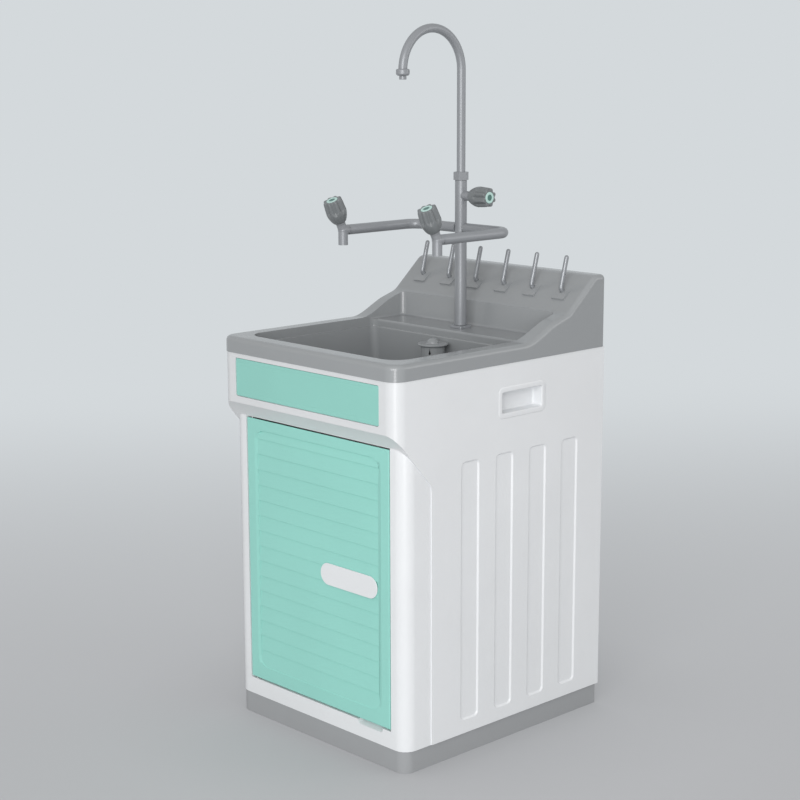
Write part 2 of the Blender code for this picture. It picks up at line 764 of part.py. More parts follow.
def frame_skin(name, inset, low_z, high_z, material=None):
    """The front's outer form, or its hollow at a wall's inset: lower front and proud fascia."""
    radius = CABINET_RADIUS - inset
    reach = frame_back_y + OVERRUN
    body = slab(name, (-frame_side_x + inset, door_y + inset, low_z), (frame_side_x - inset, reach, high_z),
                radius, 0.0, material)
    fascia = slab(name + "_fascia", (-side_x + inset, fascia_y + inset, low_z + GAP),
                  (side_x - inset, reach + OVERRUN, high_z + (0.0 if inset else OVERRUN)), radius, 0.0)
    carve(fascia, outline(name + "_slope", fascia_outline(inset), TOP_WIDTH + OVERRUN, side_frame()),
          "INTERSECT")
    carve(body, fascia, "UNION")
    return body


def build_front_frame():
    """The white front: fascia with its recess, the slope under it, round corners and the door opening."""
    body = frame_skin("front_frame", 0.0, cabinet_bottom, cabinet_top - OVERRUN, white)
    carve(body, frame_skin("frame_hollow", PANEL_WALL, cabinet_bottom - OVERRUN, cabinet_top + 2 * OVERRUN))
    liner_x = opening_half + PANEL_WALL
    carve(body, box("frame_liner", (-liner_x, door_y + PANEL_WALL / 2, opening_low - PANEL_WALL),
                    (liner_x, door_y + LINER_DEPTH, opening_top + PANEL_WALL)), "UNION")
    carve(body, box("frame_foot", (-frame_side_x + CABINET_RADIUS, door_y + PANEL_WALL / 2,
                                   cabinet_bottom + GAP / 2),
                    (frame_side_x - CABINET_RADIUS, door_y + LINER_DEPTH, cabinet_bottom + PANEL_WALL)),
          "UNION")
    scoop_x = opening_half - SCOOP_FROM_EDGE
    scoop_half = SCOOP_WIDTH / 2 + PANEL_WALL
    carve(body, box("scoop_block", (scoop_x - scoop_half, door_y + PANEL_WALL / 2,
                                    opening_low - SCOOP_DEPTH - PANEL_WALL),
                    (scoop_x + scoop_half, door_y + SCOOP_REACH + PANEL_WALL,
                     opening_low - PANEL_WALL / 2)), "UNION")
    half = side_x - FASCIA_SIDE_MARGIN + FASCIA_PANEL_GAP
    low = fascia_low_z + FASCIA_LOW_MARGIN - FASCIA_PANEL_GAP
    high = cabinet_top - FASCIA_TOP_MARGIN + FASCIA_PANEL_GAP
    floor = fascia_y + FASCIA_PANEL_SINK + FASCIA_PANEL_THICKNESS + GAP
    carve(body, box("fascia_backing", (-half - PANEL_WALL, fascia_y + PANEL_WALL / 2, low - PANEL_WALL),
                    (half + PANEL_WALL, floor + PANEL_WALL, high + PANEL_WALL)), "UNION")
    middle = floor / 2 + (fascia_y - OVERRUN) / 2
    carve(body, outline("fascia_recess", rounded_rectangle((-half, low), (half, high), FASCIA_PANEL_RADIUS),
                        floor - fascia_y + OVERRUN, front_frame_at(middle)))
    carve(body, box("frame_trim", (-TOP_WIDTH, frame_back_y - GAP, 0.0),
                    (TOP_WIDTH, frame_back_y + 4 * OVERRUN, 1.0)))
    carve(body, box("frame_top_trim", (-TOP_WIDTH, front_y - OVERRUN, cabinet_top),
                    (TOP_WIDTH, frame_back_y + OVERRUN, cabinet_top + 3 * OVERRUN)))
    carve(body, box("door_opening", (-opening_half, front_y, opening_low),
                    (opening_half, door_y + LINER_DEPTH + OVERRUN, opening_top)))
    scoop_y = door_y + (SCOOP_REACH - OVERRUN) / 2
    scoop = rounded_rectangle((scoop_x - SCOOP_WIDTH / 2, opening_low - SCOOP_DEPTH),
                              (scoop_x + SCOOP_WIDTH / 2, opening_low + SCOOP_DEPTH), SCOOP_DEPTH * 0.8)
    carve(body, outline("finger_scoop", scoop, SCOOP_REACH + OVERRUN, front_frame_at(scoop_y)))
    hole = PIN_DIAMETER / 2 + GAP
    for name, z in (("upper", opening_top), ("lower", opening_low)):
        carve(body, rod("hinge_hole_" + name, hole, z - PANEL_WALL - OVERRUN, z + PANEL_WALL + OVERRUN, None,
                        at(hinge_x, hinge_y, 0), SMALL_SIDES))


def build_fascia_panel():
    """The turquoise panel let into the fascia."""
    half = side_x - FASCIA_SIDE_MARGIN
    low = fascia_low_z + FASCIA_LOW_MARGIN
    high = cabinet_top - FASCIA_TOP_MARGIN
    outline("fascia_panel", rounded_rectangle((-half, low), (half, high), FASCIA_PANEL_RADIUS),
            FASCIA_PANEL_THICKNESS,
            front_frame_at(fascia_y + FASCIA_PANEL_SINK + FASCIA_PANEL_THICKNESS / 2), turquoise)


def groove_spans():
    """Front and back edge of each groove in a side panel."""
    first = frame_back_y + GROOVE_FIRST
    return [(first + i * GROOVE_PITCH - GROOVE_WIDTH / 2, first + i * GROOVE_PITCH + GROOVE_WIDTH / 2)
            for i in range(GROOVE_COUNT)]


def groove_cutter(name, side, low, high):
    """One groove with sloping sides, cut into a side panel's face."""
    bm = bmesh.new()
    rings = []
    reach = OVERRUN * GROOVE_DRAFT / GROOVE_DEPTH
    for inset, x in ((-reach, side_x + OVERRUN), (GROOVE_DRAFT, side_x - GROOVE_DEPTH)):
        points = rounded_rectangle((low[0] + inset, low[1] + inset), (high[0] - inset, high[1] - inset),
                                   GROOVE_RADIUS - inset, 3)
        rings.append([bm.verts.new((side * x, y, z)) for y, z in points])
    for ring in rings:
        bm.faces.new(ring)
    for i in range(len(rings[0])):
        bm.faces.new((rings[0][i - 1], rings[0][i], rings[1][i], rings[1][i - 1]))
    return from_bmesh(name, bm)


def build_side(name, side):
    """A white side panel: flanged tray with upright grooves and a cut-out for the grip."""
    inner = side_x - PANEL_FLANGE - PANEL_WALL
    wall = side_x - PANEL_WALL

    def span(x0, y0, z0, x1, y1, z1):
        ends = sorted((side * x0, side * x1))
        return (ends[0], y0, z0), (ends[1], y1, z1)

    body = box(name + "_side_panel", *span(inner, frame_back_y, cabinet_bottom, side_x, panel_back_y,
                                           cabinet_top), white)
    carve(body, box(name + "_tray", *span(inner - OVERRUN, frame_back_y + PANEL_WALL,
                                          cabinet_bottom + PANEL_WALL, wall,
                                          panel_back_y - PANEL_WALL, cabinet_top - PANEL_WALL)))
    groove_low = cabinet_bottom + GROOVE_LOW_MARGIN
    groove_high = cabinet_top - GROOVE_TOP_MARGIN
    backs = bmesh.new()
    recesses = []
    for i, (y0, y1) in enumerate(groove_spans()):
        add_box(backs, *span(wall - GROOVE_DEPTH, y0 - PANEL_WALL, groove_low - PANEL_WALL,
                             wall + PANEL_WALL / 4,
                             y1 + PANEL_WALL, groove_high + PANEL_WALL))
        recesses.append(groove_cutter("recess_%d" % i, side, (y0, groove_low), (y1, groove_high)))
    carve(body, from_bmesh(name + "_groove_backs", backs), "UNION")
    carve(body, joined(name + "_grooves", recesses))

    y = panel_back_y - GRIP_FROM_BACK
    z = cabinet_top - GRIP_FROM_TOP
    cup = (GRIP_LENGTH / 2 + GRIP_WALL, GRIP_HEIGHT / 2 + GRIP_WALL)
    room = (cup[0] + GRIP_CLEARANCE, cup[1] + GRIP_CLEARANCE)
    hole = rounded_rectangle((y - room[0], z - room[1]), (y + room[0], z + room[1]), GRIP_HOLE_RADIUS, 3)
    carve(body, outline(name + "_grip_hole", hole, 4 * PANEL_WALL, at(side * side_x, 0, 0) @ side_frame()))

    face = side_x + GAP
    crown = face + GRIP_BEZEL_THICKNESS / 2
    depth = GRIP_DEPTH + GRIP_WALL
    outer = GRIP_RADIUS + GRIP_WALL
    bezel = (cup[0] + GRIP_BEZEL, cup[1] + GRIP_BEZEL)
    plate = rounded_rectangle((y - bezel[0], z - bezel[1]), (y + bezel[0], z + bezel[1]), outer, 3)
    shell = rounded_rectangle((y - cup[0], z - cup[1]), (y + cup[0], z + cup[1]), outer, 3)
    pocket = rounded_rectangle((y - GRIP_LENGTH / 2, z - GRIP_HEIGHT / 2),
                               (y + GRIP_LENGTH / 2, z + GRIP_HEIGHT / 2), GRIP_RADIUS, 3)
    grip = outline(name + "_grip_cup", plate, GRIP_BEZEL_THICKNESS, at(side * crown, 0, 0) @ side_frame(),
                   white)
    back = at(side * (crown - depth / 2), 0, 0) @ side_frame()
    carve(grip, outline(name + "_grip_body", shell, depth, back), "UNION")
    carve(grip, outline(name + "_grip_pocket", pocket, 2 * GRIP_DEPTH,
                        at(side * crown, 0, 0) @ side_frame()))


def waste_level():
    """Height of the waste pipe's axis."""
    trap_top = basin_floor_z - DRAIN_BODY_LENGTH - GAP - TRAP_NECK_LENGTH
    return trap_top - TRAP_OUTLET_DROP


def build_back_panel():
    """The white back, held inside the side panels' flanges, with a window for the pipes."""
    half = side_x - PANEL_WALL - GAP
    outer_y = panel_back_y - PANEL_WALL - GAP
    low = cabinet_bottom + PANEL_WALL + GAP
    high = cabinet_top - PANEL_WALL - GAP
    body = box("back_panel", (-half, outer_y - PANEL_WALL, low), (half, outer_y, high), white)
    ribs = bmesh.new()
    for z in (low + BACK_RIB_MARGIN, high - BACK_RIB_MARGIN):
        add_box(ribs, (-half + BACK_RIB_MARGIN, outer_y - PANEL_WALL - BACK_RIB_DEPTH,
                       z - BACK_RIB_WIDTH / 2),
                (half - BACK_RIB_MARGIN, outer_y - PANEL_WALL / 2, z + BACK_RIB_WIDTH / 2))
    carve(body, from_bmesh("back_ribs", ribs), "UNION")
    z = waste_level()
    window = rounded_rectangle((-BACK_WINDOW_WIDTH / 2, z - BACK_WINDOW_HEIGHT / 2),
                               (BACK_WINDOW_WIDTH / 2, z + BACK_WINDOW_HEIGHT / 2), BACK_WINDOW_RADIUS)
    carve(body, outline("back_window", window, 8 * PANEL_WALL, front_frame_at(outer_y)))


def build_plinth():
    """The grey base: a tray turned over, ribbed underneath."""
    low = (-side_x + PLINTH_INSET, door_y + CABINET_INSET, 0.0)
    high = (side_x - PLINTH_INSET, panel_back_y, PLINTH_HEIGHT)
    body = slab("base_plinth", low, high, PLINTH_RADIUS, PLINTH_BACK_RADIUS, grey)
    bays = bmesh.new()
    rib = PLINTH_WALL
    wide = (high[0] - low[0] - rib) / PLINTH_BAYS
    deep = (high[1] - low[1] - rib) / PLINTH_BAYS
    round_in = PLINTH_RADIUS - PLINTH_WALL
    for i in range(PLINTH_BAYS):
        for k in range(PLINTH_BAYS):
            x0 = low[0] + rib + i * wide
            y0 = low[1] + rib + k * deep
            verts = add_box(bays, (x0, y0, -OVERRUN),
                            (x0 + wide - rib, y0 + deep - rib, PLINTH_HEIGHT - PLINTH_WALL))
            if i != 1 and k != 1:
                outer = [v for v in verts if (v.co.x > 0) == (i > 1) and abs(v.co.x) > abs(x0 + wide / 2)
                         and (v.co.y > 0) == (k > 1) and (v.co.y > y0 + deep / 2) == (k > 1)]
                edges = upright_edges(outer, lambda p: True)
                edges = [e for e in edges if all(v in outer for v in e.verts)]
                bmesh.ops.bevel(bays, geom=edges, offset=round_in, segments=2, profile=0.5, affect="EDGES")
    carve(body, from_bmesh("plinth_bays", bays))


def louvre_side_view():
    """Saw-toothed side view of the door's recessed field, top to bottom, shut in front of the door."""
    high = door_top - FIELD_TOP_MARGIN
    low = door_low + FIELD_LOW_MARGIN
    deep = door_y + FIELD_DEPTH
    points = [(door_y - OVERRUN, high)]
    z = high
    step = LOUVRE_FIRST
    while z - step > low + LOUVRE_PITCH / 2:
        points += [(deep, z), (deep - LOUVRE_LIFT, z - step)]
        z -= step
        step = LOUVRE_PITCH
    return points + [(deep, z), (deep - LOUVRE_LIFT, low), (door_y - OVERRUN, low)]


def build_door():
    """The turquoise door: framed louvred field in front, ribbed tray behind, hinged on two pins."""
    bm = bmesh.new()
    add_box(bm, (-door_half, door_y, door_low), (door_half, door_back_y, door_top))
    front = [e for e in bm.edges if all(v.co.y < door_y + GAP for v in e.verts)]
    bmesh.ops.bevel(bm, geom=front, offset=DOOR_EDGE_RADIUS, segments=2, profile=0.5, affect="EDGES")
    door = from_bmesh("door_panel", bm, turquoise)

    field_half = door_half - FIELD_SIDE_MARGIN
    field = outline("louvre_field", louvre_side_view(), 2 * field_half, side_frame())
    plan = rounded_rectangle((-field_half, door_low + FIELD_LOW_MARGIN),
                             (field_half, door_top - FIELD_TOP_MARGIN),
                             FIELD_RADIUS, 4)
    carve(field, outline("field_corners", plan, 4 * OVERRUN, front_frame_at(door_y)), "INTERSECT")
    carve(door, field)

    bays = bmesh.new()
    wide = (2 * (door_half - DOOR_RIM) + DOOR_RIB) / DOOR_BAYS_WIDE
    high = (door_top - door_low - 2 * DOOR_RIM + DOOR_RIB) / DOOR_BAYS_HIGH
    for i in range(DOOR_BAYS_WIDE):
        for k in range(DOOR_BAYS_HIGH):
            x0 = -door_half + DOOR_RIM + i * wide
            z0 = door_low + DOOR_RIM + k * high
            add_box(bays, (x0, door_y + DOOR_SKIN, z0),
                    (x0 + wide - DOOR_RIB, door_back_y + OVERRUN, z0 + high - DOOR_RIB))
    carve(door, from_bmesh("door_bays", bays))
    socket = PIN_DIAMETER / 2 + GAP
    for name, ends in (("upper", (door_top - PIN_GRIP - GAP, door_top + OVERRUN)),
                       ("lower", (door_low - OVERRUN, door_low + PIN_GRIP + GAP))):
        carve(door, rod("pin_socket_" + name, socket, *ends, None, at(hinge_x, hinge_y, 0), SMALL_SIDES))

    right = door_half - LABEL_FROM_EDGE
    z = door_low + LABEL_RISE
    pill = rounded_rectangle((right - LABEL_LENGTH, z - LABEL_HEIGHT / 2), (right, z + LABEL_HEIGHT / 2),
                             LABEL_HEIGHT / 2, 8)
    seat = door_y + FIELD_DEPTH - LOUVRE_LIFT - GAP
    outline("door_label_plate", pill, LABEL_THICKNESS, front_frame_at(seat - LABEL_THICKNESS / 2), white)


def build_door_fittings():
    """Hinge pins, the magnetic catch on the frame and its strike on the door."""
    radius = PIN_DIAMETER / 2
    tip = radius * 0.3
    for name, ends in (("upper", (door_top - PIN_GRIP, opening_top + PIN_STAND)),
                       ("lower", (opening_low - PIN_STAND, door_low + PIN_GRIP))):
        profile = [(0.0, ends[1]), (radius - tip, ends[1]), (radius, ends[1] - tip), (radius, ends[0] + tip),
                   (radius - tip, ends[0]), (0.0, ends[0])]
        turned("hinge_pin_" + name, profile, steel, at(hinge_x, hinge_y, 0), SMALL_SIDES)

    middle_z = (door_top + door_low) / 2
    strike_y = door_back_y + GAP
    catch_y = strike_y + STRIKE_THICKNESS + GAP
    outer = opening_half - GAP
    inner = outer - CATCH_THICKNESS
    catch = box("door_catch", (inner, catch_y, middle_z - CATCH_LENGTH / 2),
                (outer, catch_y + CATCH_WIDTH, middle_z + CATCH_LENGTH / 2), black)
    edge = catch.modifiers.new("edge", "BEVEL")
    edge.width = STRIKE_THICKNESS
    edge.segments = 2
    strike = outline("door_strike", rounded_rectangle((inner - DOOR_GAP, middle_z - CATCH_LENGTH / 2),
                                                      (door_half - DOOR_GAP, middle_z + CATCH_LENGTH / 2),
                                                      DOOR_GAP, 3),
                     STRIKE_THICKNESS, front_frame_at(strike_y + STRIKE_THICKNESS / 2), steel)
    return strike


def build_drain():
    """Waste outlet through the basin floor, with its gasket, nut and the trap below."""
    place = at(0, drain_y, basin_floor_z)
    body = DRAIN_BODY_DIAMETER / 2
    socket = STANDPIPE_SPIGOT / 2 + GAP
    throat = socket - STANDPIPE_WALL
    top = -GAP
    thick = DRAIN_FLANGE_THICKNESS
    rim = DRAIN_FLANGE_DIAMETER / 2
    seat = top - STANDPIPE_ENTRY - GAP
    end = -DRAIN_BODY_LENGTH
    turned("drain_flange", [(socket, top), (rim - thick / 2, top), (rim, -thick / 2), (rim, GAP - thick),
                            (body, GAP - thick), (body, end), (throat, end), (throat, seat), (socket, seat)],
           steel, place, ROUND_SIDES, ring=True)
    boss_low = -TOP_WALL - DRAIN_BOSS_DEPTH
    gasket = boss_low - GAP
    outer = DRAIN_BOSS_DIAMETER / 2
    inner = body + GAP
    turned("drain_gasket", [(inner, gasket), (outer, gasket), (outer, gasket - GASKET_THICKNESS),
                            (inner, gasket - GASKET_THICKNESS)], black, place, ROUND_SIDES, ring=True)
    nut_top = gasket - GASKET_THICKNESS - GAP
    middle = nut_top - LOCK_NUT_THICKNESS / 2
    nut = outline("drain_lock_nut", hexagon(LOCK_NUT_FLATS), LOCK_NUT_THICKNESS, place @ at(0, 0, middle),
                  pipe_white)
    carve(nut, rod("drain_nut_bore", inner, middle - OVERRUN, middle + OVERRUN, None, place, ROUND_SIDES))


def build_standpipe():
    """The lift-out overflow pipe with its keyhole slots, and the domed cap that it is lifted by."""
    place = at(0, drain_y, 0)
    radius = STANDPIPE_DIAMETER / 2
    bore = radius - STANDPIPE_WALL
    low = basin_floor_z - GAP - STANDPIPE_ENTRY
    cap_z = RIM_HEIGHT - OVERFLOW_DROP - CAP_THICKNESS
    high = cap_z - GAP
    shoulder = basin_floor_z
    spigot = STANDPIPE_SPIGOT / 2
    inner = spigot - STANDPIPE_WALL
    pipe = turned("standpipe", [(radius, high), (radius, shoulder), (spigot, shoulder), (spigot, low),
                                (inner, low),
                                (inner, shoulder + STANDPIPE_WALL), (bore, shoulder + 2 * STANDPIPE_WALL),
                                (bore, high)],
                  grey, place, FINE_SIDES, ring=True)
    slots = bmesh.new()
    holes = []
    foot = high - SLOT_DROP - SLOT_HEIGHT
    for i in range(SLOT_COUNT):
        angle = SLOT_TURN + 2 * pi * i / SLOT_COUNT
        verts = add_box(slots, (radius / 2, -SLOT_WIDTH / 2, foot),
                        (radius + OVERRUN, SLOT_WIDTH / 2, high - SLOT_DROP))
        bmesh.ops.transform(slots, matrix=place @ Matrix.Rotation(angle, 4, "Z"), verts=verts)
        across = facing((0, drain_y, foot), (cos(angle), sin(angle), 0))
        holes.append(rod("overflow_hole_%d" % i, SLOT_HOLE_DIAMETER / 2, radius / 2, radius + OVERRUN, None,
                         across, SMALL_SIDES))
    carve(pipe, from_bmesh("standpipe_slots", slots))
    carve(pipe, joined("standpipe_holes", holes))

    rim = CAP_DIAMETER / 2
    knob = CAP_KNOB_DIAMETER / 2
    plate = cap_z + CAP_THICKNESS
    plug = bore - GAP
    lip = CAP_THICKNESS / 3
    dome = [(knob * sin(a), plate + CAP_KNOB_HEIGHT * cos(a))
            for a in (radians(25), radians(50), radians(75))]
    turned("standpipe_cap", [(0.0, plate + CAP_KNOB_HEIGHT)] + dome
           + [(knob, plate), (rim - lip, plate), (rim, plate - lip), (rim, cap_z - lip),
              (rim - lip, cap_z - lip),
              (rim - 2 * lip, cap_z), (plug, cap_z), (plug, cap_z - CAP_PLUG_DEPTH),
              (0.0, cap_z - CAP_PLUG_DEPTH)],
           grey, place, FINE_SIDES)


def build_trap():
    """Bottle trap under the drain and the waste pipe to the back."""
    drain_end = basin_floor_z - DRAIN_BODY_LENGTH
    place = at(0, drain_y, drain_end)
    neck = TRAP_NECK_DIAMETER / 2
    nut = TRAP_NUT_DIAMETER / 2
    collar = DRAIN_BODY_DIAMETER / 2
    bore = collar + GAP
    lap = TRAP_NUT_HEIGHT * 0.6
    shelf = lap - TRAP_NUT_HEIGHT
    lip = neck + GAP
    collar_low = -GAP - (TRAP_NUT_HEIGHT - lap) * 0.5
    turned("trap_inlet_nut", [(bore, lap), (nut - GAP, lap), (nut, lap - TRAP_NUT_HEIGHT / 4),
                              (nut, shelf), (lip, shelf),
                              (lip, collar_low - GAP), (bore, collar_low - GAP)], pipe_white, place,
           ROUND_SIDES, ring=True)
    body = TRAP_BODY_DIAMETER / 2
    top = -GAP - TRAP_NECK_LENGTH
    low = top - TRAP_BODY_HEIGHT
    shoulder = (body - neck) / 2
    bottle = turned("trap_body", [(0.0, -GAP), (collar, -GAP), (collar, collar_low), (neck, collar_low),
                                  (neck, top),
                                  (neck + shoulder, top), (body, top - shoulder), (body, low), (0.0, low)],
                    pipe_white, place, ROUND_SIDES)
    outlet = facing((0, drain_y, waste_level()), (0, 1, 0))
    spigot = WASTE_DIAMETER / 2 + WASTE_WALL + GAP
    reach = TRAP_OUTLET_REACH
    carve(bottle, rod("trap_spigot", spigot, 0.0, reach, None, outlet), "UNION")
    carve(bottle, rod("trap_spigot_bore", WASTE_DIAMETER / 2 + GAP, reach - WASTE_ENTRY, reach + OVERRUN,
                      None, outlet))
    cup = TRAP_CUP_DIAMETER / 2
    rim = low - GAP
    base = rim - TRAP_CUP_HEIGHT
    turned("trap_cup", [(0.0, rim), (cup, rim), (cup, rim - TRAP_CUP_HEIGHT / 4),
                        (body, rim - TRAP_CUP_HEIGHT / 3),
                        (body, base + shoulder), (neck, base), (0.0, base)], pipe_white, place, ROUND_SIDES)
    ring = OUTLET_NUT_DIAMETER / 2
    wall = spigot + GAP
    pipe = WASTE_DIAMETER / 2
    end = panel_back_y - drain_y
    far = reach + OUTLET_NUT_LENGTH / 2
    turned("trap_outlet_nut", [(pipe + GAP, far), (ring - WASTE_WALL, far), (ring, far - WASTE_WALL),
                               (ring, far - OUTLET_NUT_LENGTH), (wall, far - OUTLET_NUT_LENGTH),
                               (wall, reach + GAP),
                               (pipe + GAP, reach + GAP)], pipe_white, outlet, ROUND_SIDES, ring=True)
    start = reach - WASTE_ENTRY + GAP
    turned("waste_pipe", [(pipe, end), (pipe, start), (pipe - WASTE_WALL, start),
                          (pipe - WASTE_WALL, end)], pipe_white,
           outlet, ROUND_SIDES, ring=True)


def build_tap_column():
    """Flange on the deck, column with its threaded shank, and the washer and nut that clamp it from below."""
    place = at(0, tap_y, 0)
    low = deck_z + GAP
    high = low + TAP_FLANGE_THICKNESS
    half = TAP_FLANGE_SIZE / 2
    bm = bmesh.new()
    verts = add_box(bm, (-half, tap_y - half, low), (half, tap_y + half, high))
    bmesh.ops.bevel(bm, geom=upright_edges(verts, lambda p: True), offset=TAP_FLANGE_RADIUS, segments=3,
                    profile=0.5,
                    affect="EDGES")
    top = [e for e in bm.edges if all(v.co.z > high - GAP for v in e.verts)]
    bmesh.ops.bevel(bm, geom=top, offset=TAP_FLANGE_THICKNESS / 3, segments=2, profile=0.5, affect="EDGES")
    flange = from_bmesh("tap_flange", bm, tap_grey)
    shank = SHANK_DIAMETER / 2
    carve(flange, rod("tap_flange_bore", shank + GAP, low - OVERRUN, high + OVERRUN, None, place))

    column = COLUMN_DIAMETER / 2
    neck = NECK_DIAMETER / 2
    bore = SHANK_BORE / 2
    foot = high + GAP
    under = deck_z - TOP_WALL
    end = under - SHANK_LENGTH
    neck_top = column_top_z + NECK_HEIGHT
    turned("tap_column", [(0.0, neck_top), (neck, neck_top), (neck, column_top_z), (column, column_top_z),
                          (column, foot),
                          (shank, foot), (shank, end), (bore, end), (bore, end + SHANK_LENGTH / 2),
                          (0.0, end + SHANK_LENGTH / 2)], tap_grey, place, ROUND_SIDES)
    washer = under - GAP
    turned("tap_washer", [(shank + GAP, washer), (TAP_WASHER_DIAMETER / 2, washer),
                          (TAP_WASHER_DIAMETER / 2, washer - TAP_WASHER_THICKNESS),
                          (shank + GAP, washer - TAP_WASHER_THICKNESS)], black, place, ROUND_SIDES, ring=True)
    middle = washer - TAP_WASHER_THICKNESS - GAP - TAP_NUT_THICKNESS / 2
    nut = outline("tap_lock_nut", hexagon(TAP_NUT_FLATS), TAP_NUT_THICKNESS, at(0, tap_y, middle), steel)
    carve(nut, rod("tap_nut_bore", shank + GAP, middle - OVERRUN, middle + OVERRUN, None, place))


def build_gooseneck():
    """Union nut on the column, and the swivelling neck with its collar and nozzle."""
    place = at(0, tap_y, 0)
    low = column_top_z + GAP
    high = low + UNION_HEIGHT
    lip = high - UNION_LIP
    nut = outline("union_nut", hexagon(UNION_FLATS), UNION_HEIGHT, at(0, tap_y, (low + high) / 2), tap_grey)
    carve(nut, rod("union_bore", NECK_DIAMETER / 2 + GAP, low - OVERRUN, lip, None, place))
    carve(nut, rod("union_mouth", GOOSE_DIAMETER / 2 + GAP, low, high + OVERRUN, None, place))

    start = column_top_z + NECK_HEIGHT + GAP
    arch_z = high + GOOSE_RISE
    path = [(0, tap_y, start)]
    for step in range(GOOSE_STEPS + 1):
        angle = pi * step / GOOSE_STEPS
        path.append((0, tap_y - GOOSE_RADIUS * (1 - cos(angle)), arch_z + GOOSE_RADIUS * sin(angle)))
    outlet_y = tap_y - 2 * GOOSE_RADIUS
    path.append((0, outlet_y, arch_z - GOOSE_LEG))
    neck = tube("gooseneck", path, GOOSE_DIAMETER, tap_grey)
    collar_high = min(start + GOOSE_COLLAR, lip - GAP)
    carve(neck, rod("neck_collar", NECK_DIAMETER / 2, start, collar_high, None, place), "UNION")

    outlet = at(0, outlet_y, arch_z - GOOSE_LEG)
    ring = SPOUT_COLLAR_DIAMETER / 2
    bore = GOOSE_DIAMETER / 2 + 2 * GAP
    top = SPOUT_COLLAR_LAP
    base = top - SPOUT_COLLAR_HEIGHT
    slope = SPOUT_COLLAR_HEIGHT / 4
    tip = NOZZLE_DIAMETER / 2
    turned("spout_collar", [(bore, top), (ring - slope / 2, top), (ring, top - slope / 2),
                            (ring, base + slope),
                            (ring - slope, base), (0.0, base), (0.0, -GAP), (bore, -GAP)], tap_grey,
           outlet, ROUND_SIDES,
           ring=True)
    mouth = base - GAP
    end = mouth - NOZZLE_LENGTH
    hole = NOZZLE_BORE / 2
    turned("spout_nozzle", [(0.0, mouth), (tip, mouth), (tip, end), (hole, end),
                            (hole, mouth - NOZZLE_LENGTH / 4),
                            (0.0, mouth - NOZZLE_LENGTH / 4)], tap_grey, outlet, ROUND_SIDES)


def build_arm(name, side):
    """One bent side arm, saddled on the column and ending at its valve."""
    path = [(0, tap_y, arm_z)]
    for step in range(ARM_BEND_STEPS + 1):
        angle = 0.5 * pi * step / ARM_BEND_STEPS
        path.append((side * (ARM_SPREAD - ARM_BEND * (1 - sin(angle))),
                     tap_y - ARM_BEND * (1 - cos(angle)), arm_z))
    path.append((side * ARM_SPREAD, valve_y + VALVE_SOCKET + GAP, arm_z))
    arm = tube(name + "_arm", path, ARM_DIAMETER, tap_grey)
    carve(arm, rod(name + "_saddle", COLUMN_DIAMETER / 2 + GAP, arm_z - 2 * ARM_DIAMETER,
                   arm_z + 2 * ARM_DIAMETER, None,
                   at(0, tap_y, 0)))


def build_valve_body(name, side):
    """Cast elbow at an arm's end: outlet down, neck for the bonnet tilted forward."""
    centre = (side * ARM_SPREAD, valve_y, arm_z)
    outlet = at(*centre)
    radius = OUTLET_DIAMETER / 2
    body = rod(name + "_valve_body", radius, -OUTLET_DROP, 0.0, tap_grey, outlet)
    bm = bmesh.new()
    bmesh.ops.create_uvsphere(bm, u_segments=ROUND_SIDES, v_segments=ROUND_SIDES // 2,
                              radius=ARM_DIAMETER / 2 + GAP)
    carve(body, from_bmesh(name + "_valve_ball", bm, None, outlet), "UNION")
    carve(body, rod(name + "_valve_socket", ARM_DIAMETER / 2, 0.0, VALVE_SOCKET, None,
                    facing(centre, (0, 1, 0))), "UNION")
    carve(body, rod(name + "_valve_neck", BONNET_DIAMETER / 2 - GAP, 0.0, VALVE_NECK, None,
                    knob_frame(name)), "UNION")
    carve(body, rod(name + "_valve_bore", OUTLET_BORE / 2, -OUTLET_DROP - OVERRUN,
                    -OUTLET_DROP + OUTLET_BORE_DEPTH, None,
                    outlet))


def knob_frame(name):
    """Where a valve's spindle starts, Z along the spindle."""
    if name == "column":
        return facing((0, tap_y, column_top_z - SIDE_KNOB_DROP), (1, 0, 0))
    side = -1 if name == "left" else 1
    return facing((side * ARM_SPREAD, valve_y, arm_z), (0, -sin(KNOB_TILT), cos(KNOB_TILT)))


def knob_stations():
    """Height, radius and share of the flutes' depth along a knob: plain bulb, then lobed crown."""
    grip = KNOB_RADIUS - KNOB_BASE_RADIUS
    edge = KNOB_LENGTH / 20
    shares = [(0.0, 0.0, 0.0), (0.10, 0.36, 0.0), (0.28, 0.72, 0.0), (0.42, 0.90, 0.3), (0.55, 0.98, 1.0)]
    stations = [(KNOB_LENGTH * along, KNOB_BASE_RADIUS + grip * out, cut) for along, out, cut in shares]
    return stations + [(KNOB_LENGTH - edge, KNOB_RADIUS, 1.0), (KNOB_LENGTH, KNOB_RADIUS - edge * 0.6, 1.0)]


